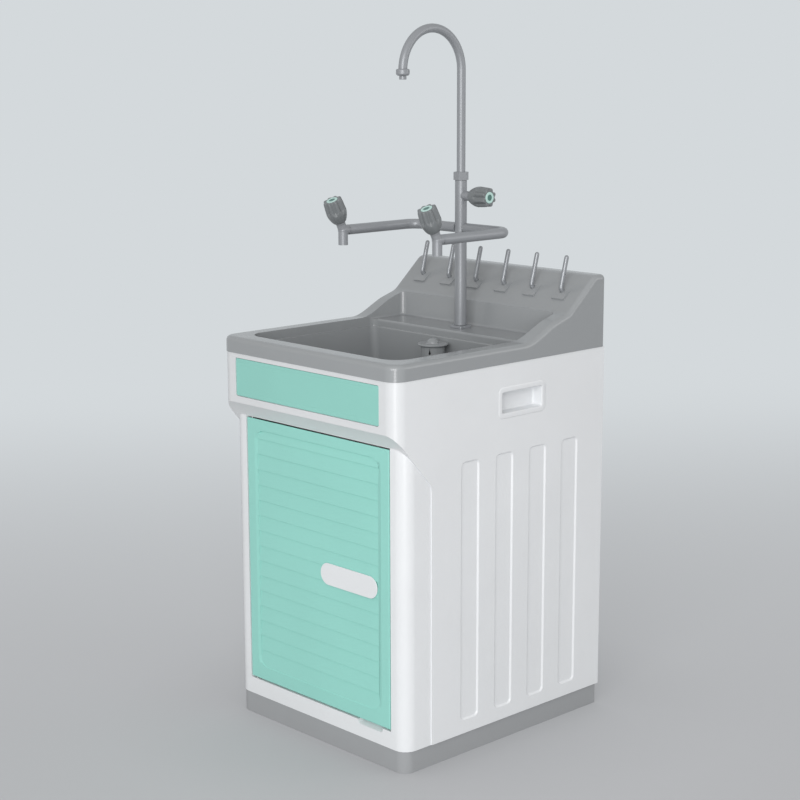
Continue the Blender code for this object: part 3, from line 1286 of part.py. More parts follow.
def build_knob(name):
    """Bonnet, fluted bell-shaped knob, and the two-colour cap in its end."""
    start = COLUMN_DIAMETER / 2 if name == "column" else VALVE_NECK
    place = knob_frame(name)
    neck = BONNET_DIAMETER / 2
    stem = SPINDLE_DIAMETER / 2
    foot = start + GAP
    shoulder = foot + BONNET_LENGTH
    if name == "column":
        shoulder += VALVE_NECK - GAP
    tip = shoulder + SPINDLE_LENGTH
    low = 0.0 if name == "column" else foot
    bonnet = turned(name + "_valve_bonnet", [(0.0, tip), (stem, tip), (stem, shoulder), (neck, shoulder),
                                             (neck, low),
                                             (0.0, low)], tap_grey, place, ROUND_SIDES)
    if name == "column":
        carve(bonnet, rod("bonnet_saddle", COLUMN_DIAMETER / 2 + GAP, deck_z, column_top_z, None,
                          at(0, tap_y, 0)))

    base = shoulder + GAP
    sides = KNOB_LOBES * KNOB_POINTS_PER_LOBE
    stations = knob_stations()
    bm = bmesh.new()
    bmesh.ops.create_circle(bm, cap_ends=True, segments=sides, radius=stations[0][1])
    face = bm.faces[:][0]
    for height, radius, share in stations[1:]:
        first = height == stations[1][0]
        grown = bmesh.ops.extrude_face_region(bm, geom=[face])["geom"]
        old = face
        face = next(item for item in grown if isinstance(item, bmesh.types.BMFace))
        if old.is_valid and not first:
            bmesh.ops.delete(bm, geom=[old], context="FACES_ONLY")
        for vert in face.verts:
            angle = atan2(vert.co.y, vert.co.x)
            flute = 0.5 + 0.5 * cos(KNOB_LOBES * angle)
            reach = radius - FLUTE_DEPTH * share * flute ** 2
            vert.co = (reach * cos(angle), reach * sin(angle), height)
    knob = from_bmesh(name + "_knob", bm, knob_grey, place @ at(0, 0, base))
    carve(knob, rod(name + "_knob_bore", stem + GAP, -OVERRUN, SPINDLE_LENGTH, None,
                    place @ at(0, 0, base), SMALL_SIDES))
    seat = KNOB_LENGTH - KNOB_CAP_DEPTH
    carve(knob, rod(name + "_knob_recess", KNOB_CAP_RADIUS + GAP, seat, KNOB_LENGTH + OVERRUN, None,
                    place @ at(0, 0, base)))
    cap_low = seat + GAP
    cap_high = KNOB_LENGTH + KNOB_CAP_PROUD
    ring = KNOB_CAP_RADIUS
    eye = KNOB_EYE_RADIUS
    edge = KNOB_CAP_PROUD
    turned(name + "_cap_ring", [(eye + GAP, cap_high), (ring - edge, cap_high), (ring, cap_high - edge),
                                (ring, cap_low),
                                (eye + GAP, cap_low)], cap_pale, place @ at(0, 0, base), ROUND_SIDES,
           ring=True)
    rod(name + "_cap_eye", eye, cap_low, cap_high - KNOB_CAP_PROUD / 2, cap_dark, place @ at(0, 0, base))
    on_axis([name + "_knob", name + "_cap_ring", name + "_cap_eye"], place)


build_worktop()
build_pegs()
build_front_frame()
build_fascia_panel()
for side_name, side_sign in (("left", -1), ("right", 1)):
    build_side(side_name, side_sign)
    build_arm(side_name, side_sign)
    build_valve_body(side_name, side_sign)
for valve_name in ("column", "left", "right"):
    build_knob(valve_name)
build_back_panel()
build_plinth()
build_door()
build_door_fittings()
build_drain()
build_standpipe()
build_trap()
build_tap_column()
build_gooseneck()
on_axis(["door_panel", "door_label_plate", "door_strike"], at(hinge_x, hinge_y, door_low))
on_axis(["gooseneck", "spout_collar", "spout_nozzle"], at(0, tap_y, column_top_z))
on_axis(["standpipe", "standpipe_cap"], at(0, drain_y, basin_floor_z))
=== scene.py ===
import json
from math import atan2, cos, hypot, pi, radians, sin

import bmesh
import bpy
from mathutils import Matrix, Vector


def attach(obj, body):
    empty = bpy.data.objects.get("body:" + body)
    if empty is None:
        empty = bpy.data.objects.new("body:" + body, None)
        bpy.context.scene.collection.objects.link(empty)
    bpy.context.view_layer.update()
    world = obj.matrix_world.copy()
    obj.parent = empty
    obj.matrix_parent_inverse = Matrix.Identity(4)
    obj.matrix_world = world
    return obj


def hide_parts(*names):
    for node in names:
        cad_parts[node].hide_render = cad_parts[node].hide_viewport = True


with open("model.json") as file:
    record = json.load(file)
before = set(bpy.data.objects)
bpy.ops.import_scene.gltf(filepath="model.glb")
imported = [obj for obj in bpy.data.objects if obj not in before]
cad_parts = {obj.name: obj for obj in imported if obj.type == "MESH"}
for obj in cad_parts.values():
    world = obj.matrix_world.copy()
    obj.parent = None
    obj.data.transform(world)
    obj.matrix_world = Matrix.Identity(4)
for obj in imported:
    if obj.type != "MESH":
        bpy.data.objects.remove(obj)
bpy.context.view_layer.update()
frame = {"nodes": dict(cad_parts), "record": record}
nodes = frame["nodes"]
bodies = frame["record"]["behaviour"]["bodies"]
body_of_node = {node: body for body, names in bodies.items() for node in names}

# Camera, solved from the straight edges of the photograph
EYE = Vector((2.5758, -2.4851, 1.3885))
YAW, PITCH, ROLL = radians(46.492), radians(11.337), radians(-0.184)
FOCAL_SHARE = 1760.70 / 800
SENSOR, FAR_CLIP = 36.0, 60.0

# Places on the bench that the fine pieces share with the part, in metres like all lengths here
GAP = 0.0003
HALF, FRONT, BACK = 0.260, -0.300, 0.300
RIM, SKIRT, DECK, CREST = 0.8125, 0.780, 0.808, 0.930
WALL_Y, BASIN_BACK, BASIN_FRONT, BASIN_HALF = 0.180, 0.093, -0.262, 0.222
FLOOR, LIP, LIP_STEP = 0.6625, 0.793, 0.004
FRONT_CORNER, LIP_CORNER = 0.040, 0.014
SKIN = 0.005
FOOT = Vector((0.0, 0.187, 0.860))
TOP = Vector((0.0, 0.266, 0.930))
PEG_X = [(i - 2.5) * 0.0814 for i in range(6)]
PEG_FOOT = (0.2245, 0.893228)
PEG_AXIS = (0.0, sin(radians(15)), cos(radians(15)))
DRAIN_Y, WASTE_Z = 0.0545, 0.5362
TAP_Y, ARM_Z, VALVE_Y, SPREAD = 0.1365, 1.0185, -0.0695, 0.138
COLUMN_TOP = 1.1175
ARCH_Z, ARCH_R = 1.3428, 0.083
SEAM_Y = -0.1985
HINGE = (-0.2015, -0.2665, 0.0)
# Knobs: the photograph's are a little shorter than the part's, with a smaller cap
KNOB, KNOB_CUT, FLUTE, LOBES = 0.051, 0.006, 0.0042, 8
CAP_SHARE = 0.90
CAP_SEAT = 0.0132 * CAP_SHARE + GAP
# Pegs: bent at the foot, so that they enter the slope square to it
SLOPE_UP = (TOP - FOOT).normalized()
SLOPE_OUT = Vector((0.0, -SLOPE_UP.z, SLOPE_UP.y))
PEG_ENTRY = Vector((0.0, *PEG_FOOT)) + SLOPE_UP * 0.004
PEG_RADIUS, PEG_TIP = 0.00475, 0.9690
# Worktop: corner radii of its plan, the back ones first, and how far a cutter reaches past its work
PLAN_RADII = (0.012, 0.012, 0.030, 0.030)
OVER = 0.01
# How near two points count as one, and which turns count as flat or as sharp
WELD, CUT_WELD, SEAM_WELD = 2e-5, 5e-6, 1e-6
FLAT, CUT_FLAT, SHARP = radians(0.6), radians(0.2), radians(38)
BEND_STEP = radians(5)


def make_camera():
    """The photograph's camera."""
    ahead = Vector((-sin(YAW) * cos(PITCH), cos(YAW) * cos(PITCH), -sin(PITCH)))
    right = ahead.cross(Vector((0, 0, 1))).normalized()
    up = right.cross(ahead)
    across = right * cos(ROLL) + up * sin(ROLL)
    upward = up * cos(ROLL) - right * sin(ROLL)
    data = bpy.data.cameras.new("camera")
    data.sensor_fit = "HORIZONTAL"
    data.sensor_width = SENSOR
    data.lens = SENSOR * FOCAL_SHARE
    data.clip_end = FAR_CLIP
    camera = bpy.data.objects.new("camera", data)
    bpy.context.scene.collection.objects.link(camera)
    turn = Matrix((across, upward, -ahead)).transposed().to_4x4()
    camera.matrix_world = Matrix.Translation(EYE) @ turn
    bpy.context.scene.camera = camera


class Graph:
    """A material's node tree with short calls for the nodes used here."""

    def __init__(self, name):
        self.material = bpy.data.materials.new(name)
        self.material.use_nodes = True
        self.tree = self.material.node_tree
        self.shader = self.tree.nodes["Principled BSDF"]
        coords = self.tree.nodes.new("ShaderNodeTexCoord")
        self.place = coords.outputs["Object"]

    def node(self, kind, **values):
        item = self.tree.nodes.new("ShaderNode" + kind)
        for key, value in values.items():
            setattr(item, key, value)
        return item

    def link(self, a, b):
        self.tree.links.new(a, b)

    def noise(self, scale, detail=3.0, rough=0.5, stretch=None):
        item = self.node("TexNoise")
        item.inputs["Scale"].default_value = scale
        item.inputs["Detail"].default_value = detail
        item.inputs["Roughness"].default_value = rough
        source = self.place
        if stretch is not None:
            mapping = self.node("Mapping")
            mapping.inputs["Scale"].default_value = stretch
            self.link(source, mapping.inputs["Vector"])
            source = mapping.outputs["Vector"]
        self.link(source, item.inputs["Vector"])
        return item.outputs["Fac"]

    def spread(self, value, low, high, start=0.3, end=0.7, smooth=False):
        item = self.node("MapRange")
        if smooth:
            item.interpolation_type = "SMOOTHSTEP"
        item.inputs["From Min"].default_value = start
        item.inputs["From Max"].default_value = end
        item.inputs["To Min"].default_value = low
        item.inputs["To Max"].default_value = high
        self.link(value, item.inputs["Value"])
        return item.outputs["Result"]

    def scaled(self, colour, amount):
        item = self.node("VectorMath", operation="SCALE")
        self.link(colour, item.inputs[0])
        self.link(amount, item.inputs["Scale"])
        return item.outputs["Vector"]

    def tint(self, value, first, second):
        item = self.node("Mix", data_type="RGBA")
        item.inputs[6].default_value = (*first, 1.0)
        item.inputs[7].default_value = (*second, 1.0)
        self.link(value, item.inputs[0])
        return item.outputs[2]

    def bump(self, layers):
        last = None
        for value, strength, distance in layers:
            item = self.node("Bump")
            item.inputs["Strength"].default_value = strength
            item.inputs["Distance"].default_value = distance
            self.link(value, item.inputs["Height"])
            if last is not None:
                self.link(last, item.inputs["Normal"])
            last = item.outputs["Normal"]
        self.link(last, self.shader.inputs["Normal"])


def linear(red, green, blue):
    """A screen colour as scene light, by the sRGB curve."""
    parts = []
    for value in (red, green, blue):
        share = value / 255
        parts.append(share / 12.92 if share <= 0.04045 else ((share + 0.055) / 1.055) ** 2.4)
    return tuple(parts)


def shade(colour, share):
    """A colour made darker or lighter."""
    return tuple(min(1.0, part * share) for part in colour)


def moulded(name, colour, rough, grain=900.0, relief=0.05, vary=0.02, coat=0.0, coat_rough=0.22):
    """Moulded plastic as a graph and its paint: flow mottling, fine eroded grain, uneven sheen."""
    glossier, duller, wave, wave_depth, grain_depth = 0.02, 0.03, 0.02, 0.001, 0.0003
    g = Graph(name)
    cloud = g.spread(g.noise(scale=5.0, detail=4.0, rough=0.55), 0.0, 1.0)
    paint = g.tint(cloud, shade(colour, 1 - vary), shade(colour, 1 + vary))
    g.link(paint, g.shader.inputs["Base Color"])
    fine = g.noise(grain, detail=2.0, rough=0.6)
    patches = g.noise(scale=24.0, detail=5.0, rough=0.6)
    g.link(g.spread(patches, rough - glossier, rough + duller), g.shader.inputs["Roughness"])
    g.bump([(g.noise(scale=9.0, detail=2.0), wave, wave_depth), (fine, relief, grain_depth)])
    g.shader.inputs["Coat Weight"].default_value = coat
    g.shader.inputs["Coat Roughness"].default_value = coat_rough
    return g, paint


def plastic(*look, **more):
    """Moulded plastic of one colour."""
    return moulded(*look, **more)[0].material


def with_painted_shade(name, colour, rough, proud, flush, share, coat):
    """Moulded plastic with painted shade: its colour is a tone darker where it stands proud of the front,
    so that part reads less lit.
    """
    g, paint = moulded(name, colour, rough, coat=coat)
    split = g.node("SeparateXYZ")
    g.link(g.place, split.inputs[0])
    # Painted shade: the base colour is scaled down towards the proud front
    painted_shade = g.spread(split.outputs["Y"], share, 1.0, proud, flush)
    g.link(g.scaled(paint, painted_shade), g.shader.inputs["Base Color"])
    return g.material


def enamel(name, colour, rough, metallic=0.2):
    """Powder coat: orange-peel relief and tiny specks."""
    vary, uneven, relief, depth, coat, coat_rough = 0.03, 0.02, 0.02, 0.0003, 0.15, 0.2
    g = Graph(name)
    peel = g.noise(scale=420.0, detail=2.0, rough=0.5)
    speck = g.spread(g.noise(scale=1500.0, detail=1.0), 0.0, 1.0, start=0.35, end=0.68)
    paint = g.tint(speck, shade(colour, 1 - vary), shade(colour, 1 + vary))
    g.link(paint, g.shader.inputs["Base Color"])
    patches = g.noise(scale=60.0, detail=4.0)
    g.link(g.spread(patches, rough - uneven, rough + uneven), g.shader.inputs["Roughness"])
    g.bump([(peel, relief, depth)])
    g.shader.inputs["Metallic"].default_value = metallic
    g.shader.inputs["Coat Weight"].default_value = coat
    g.shader.inputs["Coat Roughness"].default_value = coat_rough
    return g.material


def metal(name, colour, rough, stretch):
    """Plated metal with fine drawn lines."""
    dark, bright, glossier, duller, relief, depth = 0.85, 1.1, 0.08, 0.1, 0.08, 0.0003
    g = Graph(name)
    drawn = g.noise(scale=220.0, detail=4.0, rough=0.6, stretch=stretch)
    g.link(g.tint(drawn, shade(colour, dark), shade(colour, bright)), g.shader.inputs["Base Color"])
    g.link(g.spread(drawn, rough - glossier, rough + duller), g.shader.inputs["Roughness"])
    g.bump([(drawn, relief, depth)])
    g.shader.inputs["Metallic"].default_value = 1.0
    return g.material


WHITE, TAP_GREY = linear(228, 230, 232), linear(150, 153, 157)
FINISHES = {
    "white_moulding": plastic("white_moulding", WHITE, rough=0.34, coat=0.2),
    # The front's white carries painted shade: a darker tone on the proud fascia than on the set-back stiles
    "front_white_painted_shade": with_painted_shade("front_white_painted_shade", WHITE, rough=0.34, proud=-0.299, flush=-0.274, share=0.90,
                            coat=0.2),
    "turquoise_moulding": plastic("turquoise_moulding", linear(150, 212, 201), rough=0.40),
    "grey_moulding": plastic("grey_moulding", linear(151, 154, 156), rough=0.24, grain=700.0, relief=0.03,
                             coat=0.4, coat_rough=0.12),
    "tap_enamel": enamel("tap_enamel", TAP_GREY, rough=0.36),
    "peg_gloss": enamel("peg_gloss", TAP_GREY, rough=0.24, metallic=0.25),
    "fascia_turquoise": plastic("fascia_turquoise", linear(145, 205, 194), rough=0.40),
    "plinth_grey": plastic("plinth_grey", linear(157, 159, 161), rough=0.30, grain=700.0, relief=0.03,
                           coat=0.2),
    "knob_plastic": plastic("knob_plastic", linear(117, 121, 123), rough=0.32, grain=800.0, relief=0.06,
                            vary=0.03, coat=0.2),
    "cap_pale": plastic("cap_pale", linear(190, 222, 215), rough=0.32),
    "cap_dark": plastic("cap_dark", linear(78, 120, 112), rough=0.30),
    "pipe_plastic": plastic("pipe_plastic", linear(206, 206, 202), rough=0.4),
    "black_rubber": plastic("black_rubber", linear(38, 38, 38), rough=0.72, grain=500.0, relief=0.15),
    "plated_steel": metal("plated_steel", (0.58, 0.58, 0.58), rough=0.32, stretch=(1.0, 1.0, 12.0)),
}
SLOTS = {part["node"]: part["material_slot"] for part in frame["record"]["subparts"]}


def show(name, bm, node, soft=0.0, segments=2, angle=30.0, weigh=None, finish=None):
    """A finished piece in place of a CAD node, on its body and in its finish, its edges softened."""
    bmesh.ops.recalc_face_normals(bm, faces=bm.faces)
    layer = bm.edges.layers.float.new("bevel_weight_edge")
    for edge in bm.edges:
        turn = edge.calc_face_angle(0.0) if len(edge.link_faces) == 2 else 0.0
        weight = 0.0
        if soft > 0.0 and turn > radians(angle):
            weight = 1.0 if weigh is None else weigh(edge)
        edge[layer] = weight
        edge.smooth = weight > 0.0 or turn < SHARP
    for face in bm.faces:
        face.smooth = True
    mesh = bpy.data.meshes.new(name)
    bm.to_mesh(mesh)
    bm.free()
    obj = bpy.data.objects.new(name, mesh)
    bpy.context.scene.collection.objects.link(obj)
    obj.data.materials.append(FINISHES[finish or SLOTS[node]])
    if soft > 0.0:
        bevel = obj.modifiers.new("edges", "BEVEL")
        bevel.width = soft
        bevel.segments = segments
        bevel.limit_method = "WEIGHT"
        bevel.use_clamp_overlap = True
    normals = obj.modifiers.new("normals", "WEIGHTED_NORMAL")
    normals.keep_sharp = True
    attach(obj, body_of_node[node])
    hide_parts(node)
    return obj


def solid_of(node):
    """A CAD node's solid as a welded bmesh."""
    bm = bmesh.new()
    bm.from_mesh(nodes[node].data)
    bmesh.ops.remove_doubles(bm, verts=bm.verts, dist=WELD)
    bmesh.ops.dissolve_limit(bm, angle_limit=FLAT, verts=bm.verts, edges=bm.edges)
    return bm


def dressed(node, soft, segments=2, finish=None):
    """A CAD node's own shape with softened edges."""
    return show(node + "_dressed", solid_of(node), node, soft, segments, finish=finish)


def facing(origin, axis):
    """A frame at a point whose Z runs along an axis."""
    turn = Vector((0, 0, 1)).rotation_difference(Vector(axis).normalized())
    return Matrix.Translation(origin) @ turn.to_matrix().to_4x4()


def spun(points, place, steps=48, ring=False):
    """A turned shape from radius and height pairs, about a frame's Z."""
    bm = bmesh.new()
    verts = [bm.verts.new(place @ Vector((radius, 0.0, height))) for radius, height in points]
    pairs = list(zip(verts, verts[1:])) + ([(verts[-1], verts[0])] if ring else [])
    edges = [bm.edges.new(pair) for pair in pairs]
    bmesh.ops.spin(bm, geom=verts + edges, cent=place.translation, axis=place.to_3x3().col[2],
                   angle=2 * pi, steps=steps, use_merge=True, use_duplicate=False)
    bmesh.ops.remove_doubles(bm, verts=bm.verts, dist=SEAM_WELD)
    return bm


def stub(place, radius, start, end, steps):
    """A plain round bar on a frame's Z."""
    return spun([(0, start), (radius, start), (radius, end), (0, end)], place, steps)


def respun(node, origin, axis=(0, 0, 1), soft=0.0004, steps=48, segments=2, share=1.0, lift=0.0):
    """A turned CAD node spun again in finer steps, from the half outline that its mesh holds.

    The flat rings have no edge on that outline, so ends at one height are joined. The outline may be
    drawn in by a share and moved along the axis.
    """
    off_plane, off_level, off_axis = 3e-5, 2e-5, 1e-5
    place = facing(origin, axis)
    back = place.inverted()
    source = solid_of(node)
    seat = {}
    for vert in source.verts:
        local = back @ vert.co
        if abs(local.y) < off_plane and local.x > -off_plane:
            seat[vert] = (max(local.x, 0.0), local.z)
    links = {vert: [] for vert in seat}
    for edge in source.edges:
        a, b = edge.verts
        if a in seat and b in seat:
            links[a].append(b)
            links[b].append(a)
    ends = [vert for vert in seat if len(links[vert]) == 1]
    ends.sort(key=lambda vert: seat[vert][1])
    loose = []
    while ends:
        end = ends.pop()
        if ends and abs(seat[ends[-1]][1] - seat[end][1]) < off_level:
            mate = ends.pop()
            links[end].append(mate)
            links[mate].append(end)
        else:
            loose.append(end)
    chain = [loose[0] if loose else next(iter(seat))]
    while True:
        onward = [vert for vert in links[chain[-1]] if vert not in chain]
        if not onward:
            break
        chain.append(onward[0])
    points = [(seat[vert][0] * share, seat[vert][1] + lift) for vert in chain]
    if loose and points[0][0] > off_axis:
        points.insert(0, (0.0, points[0][1]))
    if loose and points[-1][0] > off_axis:
        points.append((0.0, points[-1][1]))
    source.free()
    return show(node + "_spun", spun(points, place, steps, not loose), node, soft, segments)


def bent_bar(start, axis, radius, legs, sides=40):
    """A round bar from a point along an axis: a leg runs a length, or turns round a side by an angle.

    A turning leg gives the bend's radius, the way from the bar to the bend's centre, and the angle.
    """
    bm = bmesh.new()
    point, axis = Vector(start), Vector(axis).normalized()
    ring = bmesh.ops.create_circle(bm, segments=sides, radius=radius, matrix=facing(point, axis))
    foot = list(dict.fromkeys(edge for vert in ring["verts"] for edge in vert.link_edges))
    front = foot
    for leg in legs:
        if len(leg) == 1:
            made = bmesh.ops.extrude_edge_only(bm, edges=front)["geom"]
            moved = {item for item in made if isinstance(item, bmesh.types.BMVert)}
            bmesh.ops.translate(bm, verts=list(moved), vec=axis * leg[0])
            point = point + axis * leg[0]
            front = [e for e in made if isinstance(e, bmesh.types.BMEdge) and moved.issuperset(e.verts)]
        else:
            reach, side, angle = leg
            centre = point + Vector(side).normalized() * reach
            about = axis.cross(Vector(side)).normalized()
            steps = max(4, round(angle / BEND_STEP))
            made = bmesh.ops.spin(bm, geom=front, cent=centre, axis=about, angle=angle, steps=steps)
            front = [item for item in made["geom_last"] if isinstance(item, bmesh.types.BMEdge)]
            turn = Matrix.Rotation(angle, 3, about)
            point, axis = centre + turn @ (point - centre), turn @ axis
    for end in (foot, front):
        bmesh.ops.contextual_create(bm, geom=end)
    return bm


def prism(axis, points, low, high):
    """A flat outline drawn across an axis and run along it."""
    order = {"x": lambda u, v, w: (w, u, v), "z": lambda u, v, w: (u, v, w)}[axis]
    bm = bmesh.new()
    face = bm.faces.new([bm.verts.new(order(u, v, low)) for u, v in points])
    made = bmesh.ops.extrude_face_region(bm, geom=[face], use_keep_orig=True)["geom"]
    far = [item for item in made if isinstance(item, bmesh.types.BMVert)]
    bmesh.ops.translate(bm, verts=far, vec=order(0.0, 0.0, high - low))
    bmesh.ops.recalc_face_normals(bm, faces=bm.faces)
    return bm


def rounded(low, high, radii, steps=12):
    """A rectangle with round corners: radii from the high corner round against the clock."""
    corners = [(high[0], high[1], -1, -1), (low[0], high[1], 1, -1),
               (low[0], low[1], 1, 1), (high[0], low[1], -1, 1)]
    points = []
    for turn, ((u, v, du, dv), radius) in enumerate(zip(corners, radii)):
        for step in range(steps + 1):
            angle = 0.5 * pi * (turn + step / steps)
            points.append((u + radius * (du + cos(angle)), v + radius * (dv + sin(angle))))
    return points


def bend(start, corner, end, reach, steps=8):
    """A soft corner between two straight lines."""
    a, c, b = Vector(start), Vector(corner), Vector(end)
    first = c + (a - c).normalized() * reach
    last = c + (b - c).normalized() * reach
    shares = [step / steps for step in range(steps + 1)]
    return [tuple(first * (1 - t) ** 2 + c * 2 * t * (1 - t) + last * t ** 2) for t in shares]


def parallel(points, distance):
    """A line drawn beside another, on its right."""
    moved = []
    for i, point in enumerate(points):
        along = Vector(points[min(i + 1, len(points) - 1)]) - Vector(points[max(i - 1, 0)])
        along.normalize()
        moved.append((point[0] + along.y * distance, point[1] - along.x * distance))
    return moved


def work_object(bm):
    """A passing object for one cut."""
    bmesh.ops.recalc_face_normals(bm, faces=bm.faces)
    mesh = bpy.data.meshes.new("work")
    bm.to_mesh(mesh)
    bm.free()
    obj = bpy.data.objects.new("work", mesh)
    bpy.context.scene.collection.objects.link(obj)
    return obj


def formed(first, *steps):
    """A shape cut by, joined with or kept within others, one after another."""
    base = work_object(first)
    for operation, other in steps:
        tool = work_object(other)
        boolean = base.modifiers.new("step", "BOOLEAN")
        boolean.operation = operation
        boolean.object = tool
        boolean.solver = "EXACT"
        graph = bpy.context.evaluated_depsgraph_get()
        graph.update()
        mesh = bpy.data.meshes.new_from_object(base.evaluated_get(graph))
        base.modifiers.clear()
        base.data = mesh
        bpy.data.objects.remove(tool, do_unlink=True)
    bm = bmesh.new()
    bm.from_mesh(base.data)
    bpy.data.objects.remove(base, do_unlink=True)
    bmesh.ops.remove_doubles(bm, verts=bm.verts, dist=CUT_WELD)
    bmesh.ops.dissolve_limit(bm, angle_limit=CUT_FLAT, verts=bm.verts, edges=bm.edges)
    return bm


def together(shapes):
    """Several closed shapes that don't meet, as one."""
    bm = bmesh.new()
    for shape in shapes:
        mesh = bpy.data.meshes.new("work")
        shape.to_mesh(mesh)
        shape.free()
        bm.from_mesh(mesh)
        bpy.data.meshes.remove(mesh)
    return bm


def round_off(bm, edges, radius, segments):
    """Round some edges of a bmesh."""
    bmesh.ops.bevel(bm, geom=edges, offset=radius, segments=segments, profile=0.5, affect="EDGES",
                    material=-1)


def wing_line():
    """The worktop's side view from the front rim, up the swept wing and slope, to the back."""
    start, rise, run, steps = 0.055, 0.036, 0.095, 24
    foot_rise, foot_run, bend_reach = 0.0475, 0.037, 0.010
    end_slope = (foot_rise - rise) / foot_run
    points = [(FRONT, RIM)]
    for step in range(steps + 1):
        t = step / steps
        height = RIM + rise * (3 * t ** 2 - 2 * t ** 3) + run * end_slope * (t ** 3 - t ** 2)
        points.append((start + run * t, height))
    foot, crest = (FOOT.y, FOOT.z), (TOP.y, TOP.z)
    points += bend((start + run, RIM + rise), foot, crest, bend_reach)
    points += bend(foot, crest, (BACK, CREST), bend_reach)
    return points + [(BACK, CREST)]


def basin_form(grow, top_z):
    """The basin's drafted hollow, or with a wall's growth the bowl round it."""
    draft, back_draft, fall = 0.009, 0.0005, 0.006
    floor_radius, tall, bent = 0.008, 0.05, 1.0
    inset = LIP_STEP - grow
    low = (-BASIN_HALF + inset, BASIN_FRONT + inset, FLOOR - grow)
    high = (BASIN_HALF - inset, BASIN_BACK - inset, top_z)
    middle = (low[1] + high[1]) / 2
    plan = [(low[0], low[1]), (high[0], low[1]), (high[0], high[1]), (low[0], high[1])]
    bm = prism("z", plan, low[2], high[2])
    for vert in bm.verts:
        if vert.co.z < low[2] + OVER:
            vert.co.x -= draft if vert.co.x > 0 else -draft
            vert.co.y -= back_draft if vert.co.y > middle else -draft
            vert.co.z += fall if vert.co.y < middle else 0.0
    for radius, sign in ((FRONT_CORNER, -1), (LIP_CORNER, 1)):
        edges = []
        for edge in bm.edges:
            a, b = (vert.co for vert in edge.verts)
            corner = len(edge.link_faces) == 2 and edge.calc_face_angle() > bent
            if corner and abs(a.z - b.z) > tall and (a.y - middle) * sign > 0:
                edges.append(edge)
        round_off(bm, edges, radius, segments=10)
    bm.normal_update()
    floor = min(bm.faces, key=lambda face: face.calc_center_median().z)
    round_off(bm, list(floor.edges), floor_radius, segments=5)
    return bm


def pad(x):
    """The wedge pad in front of one peg."""
    below, above, left, right = 0.0235, 0.0105, 0.0135, 0.0185
    sunk, proud, tucked = 0.0025, 0.0038, 0.0002
    low = PEG_ENTRY - SLOPE_UP * below
    high = PEG_ENTRY + SLOPE_UP * above
    corners = [low - SLOPE_OUT * sunk, low + SLOPE_OUT * proud,
               high - SLOPE_OUT * tucked, high - SLOPE_OUT * sunk]
    return prism("x", [(p.y, p.z) for p in corners], x - left, x + right)


def peg(number, x):
    """A drying peg: it comes square out of the slope, bends up and ends in a round tip."""
    depth, stand, bend_radius, sides, blunt = 0.010, 0.0045, 0.0065, 24, 0.94
    lean = Vector(PEG_AXIS)
    turn = SLOPE_OUT.angle(lean)
    foot = PEG_ENTRY + Vector((x, 0, 0)) - SLOPE_OUT * depth
    rise = (foot + SLOPE_OUT * (depth + stand)).z + bend_radius * (SLOPE_UP.z + PEG_AXIS[1])
    run = (PEG_TIP - rise) / PEG_AXIS[2] - PEG_RADIUS
    legs = [(depth + stand,), (bend_radius, SLOPE_UP, turn), (run,)]
    bar = bent_bar(foot, SLOPE_OUT, PEG_RADIUS, legs, sides)
    tip = max(bar.faces, key=lambda face: face.calc_center_median().z)
    # A quarter circle in three steps: rise and inset as shares of the radius
    for height, share in ((0.5, 0.134), (0.366, 0.366), (0.134, 0.5)):
        bmesh.ops.inset_region(bar, faces=[tip], thickness=PEG_RADIUS * share * blunt,
                               use_even_offset=True)
        bmesh.ops.translate(bar, verts=tip.verts[:], vec=lean * PEG_RADIUS * height)
    show("drying_peg_%d_bent" % number, bar, "drying_peg_%d" % number, finish="peg_gloss")


def worktop_body(top):
    """The moulding's outside: its side view run across and kept within its plan, the rim rounded."""
    upright, level, rim_radius = 0.05, 0.3, 0.010
    plan = rounded((-HALF, FRONT), (HALF, BACK), PLAN_RADII)
    body = formed(prism("x", top + [(BACK, SKIRT), (FRONT, SKIRT)], -HALF - 2 * OVER, HALF + 2 * OVER),
                  ("INTERSECT", prism("z", plan, SKIRT - OVER, CREST + OVER)))
    edges = []
    for edge in body.edges:
        if len(edge.link_faces) == 2 and min(v.co.z for v in edge.verts) > SKIRT + SKIN:
            tilts = sorted(abs(face.normal.z) for face in edge.link_faces)
            if tilts[0] < upright and tilts[1] > level:
                edges.append(edge)
    round_off(body, edges, rim_radius, segments=7)
    return body


def worktop_hollow(top, pegs):
    """The space under the skin, less the walls round the basin and a boss for each peg."""
    boss, boss_top, boss_end = 0.009, 0.010, -0.018
    under = parallel(top, SKIN)
    below = [(FRONT - OVER, SKIRT - OVER), (FRONT - OVER, under[0][1])] + under[1:-1]
    below += [(BACK + OVER, under[-1][1]), (BACK + OVER, SKIRT - OVER)]
    inner = rounded((-HALF + SKIN, FRONT + SKIN), (HALF - SKIN, BACK - SKIN),
                    [radius - SKIN for radius in PLAN_RADII], steps=6)
    keep = [(-BASIN_HALF - SKIN, BASIN_FRONT - SKIN), (BASIN_HALF + SKIN, BASIN_FRONT - SKIN),
            (BASIN_HALF + SKIN, WALL_Y + SKIN), (-BASIN_HALF - SKIN, WALL_Y + SKIN)]
    bosses = together([stub(place, boss, boss_top, boss_end, steps=24) for place in pegs])
    return formed(prism("x", below, -HALF - SKIN, HALF + SKIN),
                  ("INTERSECT", prism("z", inner, SKIRT - 2 * OVER, CREST + OVER)),
                  ("DIFFERENCE", prism("z", keep, DECK - SKIN, CREST + 2 * OVER)),
                  ("DIFFERENCE", bosses))


